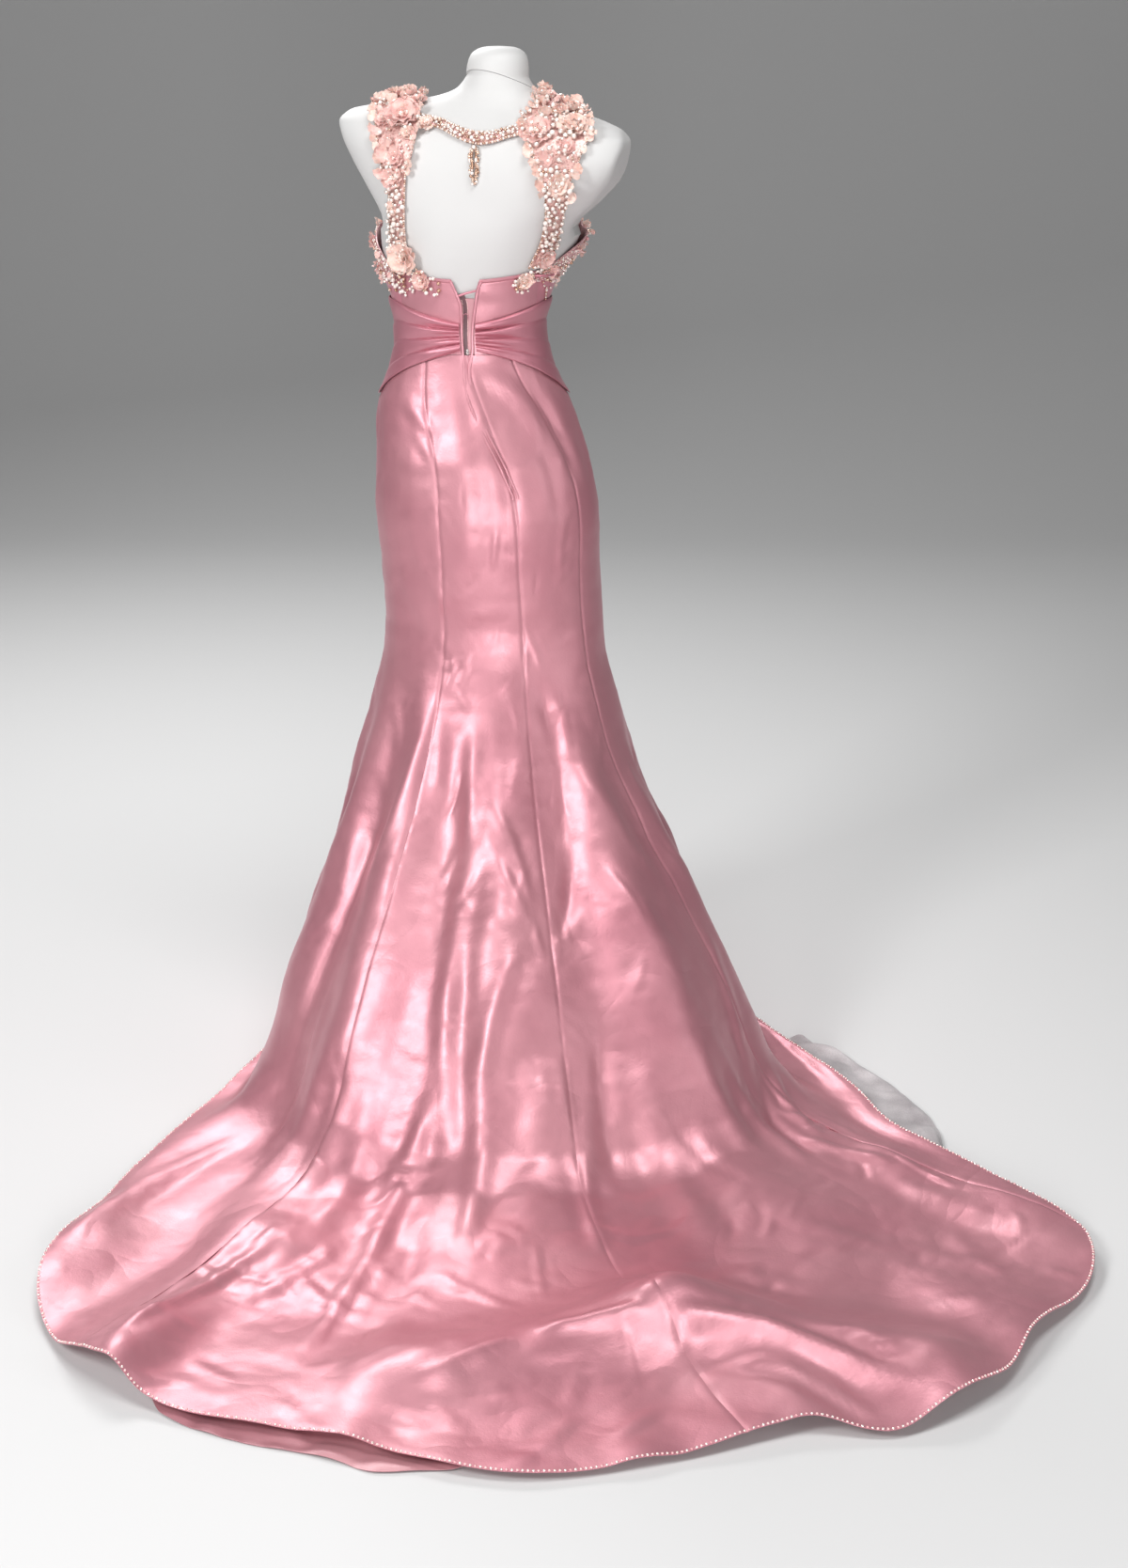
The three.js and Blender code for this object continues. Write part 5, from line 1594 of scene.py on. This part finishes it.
def scatter(work, surface, count, sizes, kinds, seed, along=WHOLE, across=INSIDE, lift=0.0):
    """Seeded beads, close together but not in each other."""
    rng = np.random.default_rng(seed)
    placed = 0
    for _ in range(count * 5):
        if placed == count:
            return
        radius = rng.uniform(*sizes) * rng.uniform(0.8, 1)
        point, normal = on_surface(surface, rng.uniform(*along), rng.uniform(*across))
        centre = point + normal * (radius * 0.75 + lift * rng.uniform(0.4, 1))
        if not work.taken(centre, radius):
            work.add(kinds[rng.integers(len(kinds))], centre, radius)
            placed += 1


def bead_row(work, surface, across, spacing, radius, kinds):
    """A row of beads along a band, at a share of its width."""
    share = np.linspace(0, 1, 600)
    points = on_surface(surface, share, np.full(600, across))[0]
    length = np.concatenate([[0], np.cumsum(np.linalg.norm(np.diff(points, axis=0), axis=-1))])
    for index, at in enumerate(np.arange(0, length[-1], spacing)):
        here = np.interp(at, length, share)
        point, normal = on_surface(surface, here, across)
        size = radius * (1 + 0.12 * math.sin(index * 2.4))
        work.add(kinds[index % len(kinds)], point + normal * size * 0.6, size)


# Petals and flowers of the applique

def petal_grid(length, width, cup, ruffle, phase, cells=8):
    """One petal: its root at the origin, its length along x, its face up."""
    r = np.linspace(0, 1, cells)[:, None]
    a = np.linspace(-1, 1, cells + 1)[None]
    fan = 0.24 + 0.76 * np.sin(math.pi / 2 * np.minimum(1, 1.5 * r))
    x = length * (r * (1 - 0.32 * a**2 * r) - 0.07 * bell(a, 0.2) * r**3)
    y = width * a * fan
    z = cup * (r**2 + 0.7 * a**2 * r) + ruffle * np.sin(2.3 * math.pi * a + phase) * r**2.2
    return np.stack(np.broadcast_arrays(x, y, z), -1)


def heading_on(up, heading):
    """A direction along a surface, turned round its outward direction."""
    first = unit(np.cross(up, [0.21, 0.33, 0.92]))
    return first * math.cos(heading) + np.cross(up, first) * math.sin(heading)


def set_petal(grid, root, up, ahead, rise):
    """A petal put on a surface, its tip ahead, lifted by an angle."""
    aside = np.cross(up, ahead)
    x = grid[..., 0] * math.cos(rise) - grid[..., 2] * math.sin(rise)
    z = grid[..., 0] * math.sin(rise) + grid[..., 2] * math.cos(rise)
    return root + x[..., None] * ahead + grid[..., 1:2] * aside + z[..., None] * up


def shells(name, grids, thickness, material_used):
    """One piece of many thin closed sheets."""
    points = []
    faces = []
    start = 0
    for grid in grids:
        normals = grid_normals(grid)
        both = np.concatenate([grid.reshape(-1, 3), (grid - normals * thickness).reshape(-1, 3)])
        made = wall_faces(*grid.shape[:2])
        if facing_in(grid, normals):
            made = made[:, ::-1]
        points.append(both)
        faces.append(made + start)
        start += len(both)
    return mesh_object(name, np.concatenate(points), np.concatenate(faces), material_used, sharp=80)


FLOWERS = records(
    "name radius material seed",
    ("left_shoulder", 27, "rose", 1),
    ("left_top", 18, "rose", 2),
    ("left_inner", 12, "blush", 3),
    ("left_low", 18, "rose", 4),
    ("left_waist", 27, "blush", 5),
    ("left_back", 15, "rose", 6),
    ("right_inner", 23, "rose", 7),
    ("right_shoulder", 24, "blush", 8),
    ("right_top", 17, "rose", 9),
    ("right_low", 18, "blush", 10),
    ("right_waist", 16, "rose", 11),
    ("right_back", 13, "blush", 12),
)
FLOWER_PETALS = 5
FLOWER_LAYERS = table(
    "size rise cup turn root lift",
    (1.0, 6, 0.12, 0.0, 0.10, 0.2),
    (0.84, 30, 0.08, 0.5, 0.08, 1.0),
    (0.44, 62, 0.05, 0.2, 0.1, 1.6),
)
HEART_KINDS = ["pearl", "champagne", "crystal"]


def flower(name, seat, up, row, work, node_name=None):
    """A silk flower: layers of cupped petals round a cluster of pearls."""
    rng = np.random.default_rng(row.seed)
    grids = []
    for layer in rows_of(FLOWER_LAYERS):
        for k in range(FLOWER_PETALS):
            turn = 2 * math.pi * (k + layer.turn) / FLOWER_PETALS
            ahead = heading_on(up, turn + rng.uniform(-0.2, 0.2))
            length = row.radius * layer.size * rng.uniform(0.86, 1.05)
            width = length * rng.uniform(0.56, 0.74)
            ruffle = length * rng.uniform(0.08, 0.15)
            grid = petal_grid(length, width, length * layer.cup, ruffle, rng.uniform(0, 6))
            root = seat + ahead * row.radius * layer.root + up * layer.lift * rng.uniform(0.8, 1.4)
            grids.append(set_petal(grid, root, up, ahead, math.radians(layer.rise + rng.uniform(-10, 14))))
    piece = shells(f"silk_flower_{name}", grids, 0.35, getattr(MATERIALS, row.material))
    place(piece, "applique", *([node_name] if node_name else []))
    hearts = 4 + int(row.radius / 6)
    for k in range(hearts):
        off = row.radius * 0.16 * math.sqrt(k / hearts)
        centre = seat + heading_on(up, k * 2.4) * off + up * (row.radius * 0.2 + 1.2 - 2 * off / row.radius)
        work.add(HEART_KINDS[k % 3], centre, row.radius * 0.055 + 0.8)


def seat_of(node_name):
    """Where a flower of the frame sits, and the outward direction there."""
    low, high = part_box(node_name)
    hit = form_tree.find_nearest((low + high) / 2)
    up = unit(np.array(hit[1]))
    return np.array(hit[0]) / MM + up * (BAND_GAP + BAND_WALL + 0.3), up


PETAL_RISE = (10, 44)


def loose_petal(point, normal, ahead, length, rng, rise=PETAL_RISE):
    width = length * rng.uniform(0.45, 0.66)
    grid = petal_grid(length, width, length * 0.18, length * 0.13, rng.uniform(0, 6), 7)
    return set_petal(grid, point + normal * 0.4, normal, ahead, math.radians(rng.uniform(*rise)))


def loose_petals(name, surface, count, sizes, seed, material_used, along=WHOLE, rise=PETAL_RISE):
    """Single small petals sewn on at their roots, lifted and turned every way."""
    rng = np.random.default_rng(seed)
    grids = []
    for _ in range(count):
        point, normal = on_surface(surface, rng.uniform(*along), rng.uniform(0.05, 0.95))
        ahead = heading_on(normal, rng.uniform(0, 2 * math.pi))
        grids.append(loose_petal(point, normal, ahead, rng.uniform(*sizes), rng, rise))
    return place(shells(name, grids, 0.3, material_used), "applique")


def edge_petals(name, surface, spacing, sizes, seed, material_used, along):
    """Petals that lean out over both edges of a band, unevenly spaced."""
    rng = np.random.default_rng(seed)
    rows = surface.points.shape[0]
    grids = []
    for edge, inner in ((0.06, 0.3), (0.94, 0.7)):
        at = along[0]
        while at < along[1]:
            point, normal = on_surface(surface, at, edge)
            inside, _ = on_surface(surface, at, inner)
            out = unit(point - inside)
            ahead = unit(out + 0.8 * rng.uniform(-1, 1) * unit(np.cross(normal, out)))
            grids.append(loose_petal(point, normal, ahead, rng.uniform(*sizes), rng))
            step = np.linalg.norm(on_surface(surface, at + 1 / rows, edge)[0] - point) + 0.3
            at += spacing * rng.uniform(0.6, 1.5) / step / rows
    return place(shells(name, grids, 0.3, material_used), "applique")


# Straps

STRAPS = records(
    "name rows seed cluster pearls large petals",
    ("strap_left", STRAP_LEFT, 31, (0.25, 0.86), 70, 4.2, 34),
    ("strap_right", STRAP_RIGHT, 32, (0.2, 0.86), 190, 5.0, 20),
)
CLEAR = ["pearl", "crystal", "crystal"]
MIXED = ["pearl", "pearl", "champagne", "crystal", "crystal", "pink_bead"]
TINY = ["champagne", "pink_bead", "crystal"]
# Smaller flowers between the large ones: strap, place along and across it, radius.
FILLERS = records(
    "strap along across radius material seed",
    ("strap_left", 0.30, 0.5, 14, "rose", 21),
    ("strap_left", 0.36, 0.78, 12, "blush", 22),
    ("strap_left", 0.40, 0.2, 13, "rose", 23),
    ("strap_left", 0.47, 0.92, 14, "rose", 24),
    ("strap_left", 0.58, 0.75, 13, "blush", 25),
    ("strap_left", 0.7, 0.4, 15, "rose", 26),
    ("strap_left", 0.82, 0.6, 13, "blush", 27),
    ("strap_right", 0.34, 0.7, 12, "rose", 28),
    ("strap_right", 0.45, 0.5, 13, "blush", 29),
    ("strap_right", 0.58, 0.25, 14, "rose", 30),
    ("strap_right", 0.7, 0.6, 15, "rose", 33),
    ("strap_right", 0.82, 0.4, 13, "blush", 34),
)


def strap_beads(row, surface):
    """Beads along both edges, then the large ones and the small ones between them."""
    work = BeadWork(f"beaded_{row.name}")
    for edge in (0.02, 0.98):
        bead_row(work, surface, edge, 3.3, 1.5, ["champagne", "pearl", "champagne"])
    low, high = row.cluster
    for layer in records(
            "count sizes kinds seed along across lift",
            (row.pearls, (3.0, row.large), CLEAR, 0, (low, high), WHOLE, 5),
            (110, (1.8, 2.8), MIXED, 10, (low, high), WHOLE, 2),
            (56, (3.0, 4.6), CLEAR, 20, (0.04, low), WHOLE, 4),
            (36, (1.6, 2.6), MIXED, 25, (0, low), INSIDE, 1),
            (40, (1.4, 2.6), MIXED, 30, (high, 1), INSIDE, 0),
            (70, (0.9, 1.4), TINY, 40, WHOLE, INSIDE, 0)):
        scatter(work, surface, layer.count, layer.sizes, layer.kinds, row.seed + layer.seed,
                layer.along, layer.across, layer.lift)
    work.finish()


def strap_petals(row, surface):
    """Petals of the cluster, those that stand on the shoulder, those below and those at the edges."""
    low, high = row.cluster
    for layer in records(
            "name count sizes seed silk along rise",
            ("petals", row.petals, (13, 22), 50, "rose", (low, high), PETAL_RISE),
            ("ridge_petals", 22, (12, 20), 55, "blush", (low + 0.16, low + 0.42), (45, 85)),
            ("small_petals", 8, (7, 11), 60, "blush", (0.05, low), PETAL_RISE)):
        loose_petals(f"{layer.name}_{row.name}", surface, layer.count, layer.sizes, row.seed + layer.seed,
                     getattr(MATERIALS, layer.silk), layer.along, layer.rise)
    edge_petals(f"edge_petals_{row.name}", surface, 15, (11, 18), row.seed + 70, MATERIALS.blush, (low, high))


def strap(row):
    """One strap: its lace, and the beads and petals on it."""
    surface = band_surface(row.rows, 13, 8)
    scallop = 0.35 * np.abs(np.sin(np.arange(surface.points.shape[0]) * 0.7))[:, None, None]
    outer = surface.points + surface.normals * (scallop - 0.3)
    lace = sheet_object(f"lace_{row.name}", outer, outer - surface.normals * 0.8, MATERIALS.strap_lace)
    place(lace, "applique", row.name)
    strap_beads(row, surface)
    strap_petals(row, surface)
    return surface


strap_surfaces = {row.name: strap(row) for row in STRAPS}
flower_work = BeadWork("flower_hearts")
for row in FLOWERS:
    flower(row.name, *seat_of(f"flower_{row.name}"), row, flower_work, f"flower_{row.name}")
for number, row in enumerate(FILLERS):
    seat, up = on_surface(strap_surfaces[row.strap], row.along, row.across)
    flower(f"small_{number + 1}", seat + up * 0.5, up, row, flower_work)
flower_work.finish()


# The beaded rope across the nape and its pendant

def neck_bridge():
    """The rope of beads from one strap to the other."""
    surface = band_surface(BRIDGE, 7, 6, upright=True)
    outer = surface.points - surface.normals * 0.5
    backing = sheet_object("nape_band", outer, surface.points - surface.normals * 1.3, MATERIALS.strap_lace)
    place(backing, "beads", "neck_bridge")
    work = BeadWork("nape")
    for across in (0.03, 0.97):
        bead_row(work, surface, across, 4.1, 1.9, ["champagne", "pearl"])
    scatter(work, surface, 66, (2.3, 3.6), ["pearl", "champagne", "crystal", "crystal"], 51, lift=1.5)
    scatter(work, surface, 110, (1.1, 1.8), ["champagne", "champagne", "crystal", "pink_bead"], 52)
    work.finish()


def pendant():
    """A tassel of small beads, full in the middle, that hangs close to the form."""
    low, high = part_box("pendant")
    low, high = np.array(low) / MM, np.array(high) / MM
    middle = (low + high) / 2
    rng = np.random.default_rng(61)
    work = BeadWork("pendant")
    work.add("pearl", [middle[0], middle[1] - 0.6, high[2] - 2.6], 3.0)
    work.add("crystal", [middle[0], middle[1] - 0.6, low[2] + 2.4], 2.3)
    for share in np.linspace(0.05, 0.95, 19):
        radius = float(read(PENDANT, "share", share, "radius"))
        z = mix(high[2], low[2], share)
        y = mix(on_form(middle[0], z, 0)[0][1] - BAND_GAP - 3.2, middle[1] - 0.5, 0.35)
        for k in range(6):
            angle = k * math.pi / 3 + share * 21
            x = middle[0] + radius * math.cos(angle)
            at = [x, y + 0.45 * radius * math.sin(angle), z + rng.uniform(-1, 1)]
            size = rng.uniform(1.8, 2.8)
            if not work.taken(np.array(at), size, 0.55):
                work.add(("champagne", "champagne", "champagne", "pearl")[rng.integers(4)], at, size)
    work.finish(["pendant"])


neck_bridge()
pendant()


# Beads and petals on the bodice, where the straps join it and round the front

SPRAYS = records(
    "name start end low high beads petals seed",
    ("left", -106, -44, 1224, 1276, 110, 20, 71),
    ("right", 36, 106, 1226, 1274, 110, 18, 72),
)
FRONT_TOP = SimpleNamespace(start=100, end=260, low=1205, high=1316, seed=73)


def bodice_surface(row, lift=1.9):
    """Points and outward directions on the bodice between two bearings and two heights."""
    bearing, z = np.meshgrid(np.linspace(row.start, row.end, 60), np.linspace(row.low, row.high, 14))
    top = read(BODICE_TOP, "bearing", wrap(bearing), "z")
    points = figure(bearing, np.minimum(z, top - 2), lift)
    normals = grid_normals(points)
    if (normals * outward(bearing)).sum() < 0:
        normals = -normals
    return SimpleNamespace(points=points, normals=normals)


# Bunches of pearls at the back edge: place on the form, spread, size and number.
BUNCHES = table(
    "x z spread size count",
    (-130, 1226, 19, 3.0, 28),
    (-112, 1214, 10, 2.4, 9),
    (-76, 1221, 13, 2.8, 18),
    (50, 1224, 13, 2.9, 24),
    (76, 1243, 13, 2.8, 22),
    (86, 1220, 9, 2.3, 12),
    (-100, 1236, 16, 3.0, 26),
)
BODICE_RISE = 4.2              # from the bare form to the outside of the bodice
LOOP = SimpleNamespace(x=80, z=1236, half=13, rise=6, stand=11)
DROP = SimpleNamespace(x=84, top=1216, length=20, beads=8)


def bunches():
    """Small bunches of pearls at the back edge, and a short drop of beads."""
    rng = np.random.default_rng(77)
    work = BeadWork("bunch")
    for row in rows_of(BUNCHES):
        for _ in range(int(row.count)):
            angle = rng.uniform(0, 2 * math.pi)
            off = row.spread * math.sqrt(rng.uniform(0, 1))
            radius = row.size * rng.uniform(0.75, 1.15)
            point, normal = on_form(row.x + off * math.cos(angle), row.z + off * math.sin(angle), 0)
            pile = 0.5 * row.size * (1 - off / row.spread)
            centre = point + normal * (BODICE_RISE + radius * 0.85 + pile)
            if not work.taken(centre, radius, 0.7):
                work.add(("pearl", "crystal", "champagne")[rng.integers(3)], centre, radius)
    for k in range(DROP.beads):
        point, normal = on_form(DROP.x - 0.3 * k, DROP.top - DROP.length * k / DROP.beads, 0)
        work.add(("crystal", "champagne")[k % 2], point + normal * (BODICE_RISE + 1.6), 1.5)
    work.finish()


def ribbon_loop():
    """A loop of narrow satin ribbon beside the right cluster."""
    angle = np.linspace(0, math.pi, 26)
    path = []
    for a in angle:
        x = LOOP.x - LOOP.half * math.cos(a)
        point, normal = on_form(x, LOOP.z + LOOP.rise * math.sin(a), 0)
        path.append(point + normal * (BODICE_RISE + 1.5 + LOOP.stand * math.sin(a)))
    place(tube("ribbon_loop", path, 1.7, MATERIALS.sash, sides=10), "satin")


def bodice_sprays():
    """Beads and petals where the straps join, and along the top of the front."""
    for row in SPRAYS:
        surface = bodice_surface(row)
        work = BeadWork(f"bodice_{row.name}")
        scatter(work, surface, row.beads // 4, (2.3, 3.6), ["pearl", "champagne", "crystal"], row.seed)
        scatter(work, surface, row.beads, (1.1, 2.0), MIXED, row.seed + 1)
        work.finish()
        loose_petals(f"bodice_petals_{row.name}", surface, row.petals, (9, 15), row.seed + 2, MATERIALS.rose)
    work = BeadWork("bodice_lace", cells=2)
    surface = bodice_surface(FRONT_TOP)
    scatter(work, surface, 90, (2.0, 3.4), ["pearl", "champagne", "pink_bead"], FRONT_TOP.seed)
    scatter(work, surface, 520, (1.1, 1.8), MIXED, FRONT_TOP.seed + 1)
    loose_petals("bodice_petals_front", surface, 70, (9, 16), FRONT_TOP.seed + 2, MATERIALS.blush)
    work.finish()


bodice_sprays()
bunches()
ribbon_loop()


# Beads along the hem

HEM_BEADS = SimpleNamespace(spacing=6.2, radius=1.9, inset=2.4)


def hem_beads():
    """A bead every few millimetres along the hem, of two kinds in turn."""
    grids = [gore_grids[row.name] for row in GORES]
    edge = np.concatenate([grid[-1] for grid in grids])
    inner = np.concatenate([grid[-3] for grid in grids])
    up = np.concatenate([grid_normals(grid)[-1] for grid in grids])
    up = up * np.sign(up[:, 2:] + 1e-6)
    length = np.concatenate([[0], np.cumsum(np.linalg.norm(np.diff(edge, axis=0), axis=-1))])
    at = np.arange(0, length[-1], HEM_BEADS.spacing)

    def along(values):
        return np.stack([np.interp(at, length, values[:, k]) for k in range(3)], -1)

    edge, inner, up = along(edge), along(inner), unit(along(up))
    place_at = edge + unit(inner - edge) * HEM_BEADS.inset + up * HEM_BEADS.radius * 0.6
    for index, kind in enumerate(("crystal", "pink_bead")):
        beads(f"hem_{kind}s", place_at[index::2], HEM_BEADS.radius, getattr(MATERIALS, kind), "beads")


hem_beads()


# Lining and net that show under the hem

LINING_EDGE = table(
    "bearing outer",
    (-20.5, 1118),
    (-19, 1148),
    (-16.6, 1166),
    (-12.6, 1174),
    (-7, 1194),
    (-5, 1205),
    (-3, 1203),
    (-1, 1202),
    (1, 1180),
)
NET_EDGE = table("bearing outer", (56, 812), (61, 776), (66, 725), (72, 657), (78, 590), (86, 505))
STRIP = SimpleNamespace(level=2.88, gap=1.1, floor=1.2)


STRIPS = records(
    "slot start end edge columns rows ripple size seed wall node rests_on",
    ("lining", -20.3, 0.8, LINING_EDGE, 80, 20, 4, 60, 81, 0.8, "hem_lining", "satin_back_left"),
    ("net", 57.2, 85.8, NET_EDGE, 90, 36, 7, 90, 83, 0.6, "petticoat_net", "satin_side_back_right"),
)


def hem_strip(row):
    """A cloth that comes out from under the hem and lies on the floor, crumpled."""
    bearing, share = np.meshgrid(np.linspace(row.start, row.end, row.columns), np.linspace(0, 1, row.rows))
    under = skirt(bearing, STRIP.level, -(CLOTH + STRIP.gap))
    ragged = 2.5 * np.sin(bearing * 0.8 + row.seed) * smooth(share, 0.6, 1)
    reach = read(row.edge, "bearing", bearing, "outer") + ragged
    point = mix(under, outward(bearing) * reach[..., None], share[..., None])
    flat = np.stack([bearing * 11, share * 40, share * 0], -1)
    crumple = waves(flat, row.size, row.seed) + 0.4 * waves(flat, row.size * 0.45, row.seed + 1)
    lift = row.ripple * np.abs(crumple) * smooth(share, 0.25, 0.8) * (1 - 0.5 * smooth(share, 0.9, 1))
    point[..., 2] = np.maximum(mix(under[..., 2], STRIP.floor, smooth(share, 0, 0.7)) + lift, STRIP.floor)
    inner = point - np.array([0, 0, row.wall])
    piece = sheet_object(f"{row.slot}_sheet", point, inner, getattr(MATERIALS, row.slot), floor=0.2)
    place(piece, row.slot, row.node)


for strip in STRIPS:
    hem_strip(strip)


# Floor with a smooth rise behind, and lights

SWEEP = SimpleNamespace(front=-9, flat=3.5, radius=3, top=9, half=14)


def backdrop():
    """The pale floor, which rises smoothly behind."""
    angle = np.linspace(0, math.pi / 2, 24)
    far = SWEEP.flat + SWEEP.radius
    y = np.concatenate([[SWEEP.front], SWEEP.flat + SWEEP.radius * np.sin(angle), [far]])
    z = np.concatenate([[0], SWEEP.radius * (1 - np.cos(angle)), [SWEEP.top]]) - 0.0005
    middle = np.stack([np.zeros(len(y)), y, z], -1)[:, None]
    points = middle + np.array([[-SWEEP.half, 0, 0], [SWEEP.half, 0, 0]])
    paper = material("paper", (0.66, 0.66, 0.66, 1), 0.8)[0]
    floor = mesh_object("floor", points.reshape(-1, 3) / MM, grid_faces(len(y), 2), paper)


backdrop()


LIGHTS = records(
    "name place aim size power",
    ("key", (-2.4, -2.9, 3.0), (0.1, -0.3, 0.7), (0.9, 1.3), 100),
    ("back", (-1.0, 2.2, 3.0), (-0.1, -0.9, 0.1), (1.7, 1.0), 80),
    ("overhead", (0.5, -1.5, 4.2), (0.1, -0.8, 0.1), (1.8, 1.2), 76),
    ("low_front", (0.2, -4.3, 0.9), (0.0, 0.0, 0.8), (0.9, 1.0), 62),
    ("fill", (3.0, -2.2, 1.6), (0.1, -0.2, 0.8), (1.4, 2.0), 18),
)


def area_light(row):
    data = bpy.data.lights.new(row.name, "AREA")
    data.shape = "RECTANGLE"
    data.size, data.size_y = row.size
    data.energy = row.power
    light = bpy.data.objects.new(row.name, data)
    light.location = row.place
    light.rotation_euler = (Vector(row.aim) - Vector(row.place)).to_track_quat("-Z", "Y").to_euler()
    bpy.context.scene.collection.objects.link(light)


for light_row in LIGHTS:
    area_light(light_row)

world = bpy.data.worlds.new("world")
world.use_nodes = True
background = world.node_tree.nodes["Background"]
background.inputs["Color"].default_value = (0.94, 0.94, 0.94, 1)
background.inputs["Strength"].default_value = 0.13
bpy.context.scene.world = world
bpy.context.scene.view_settings.view_transform = "Standard"
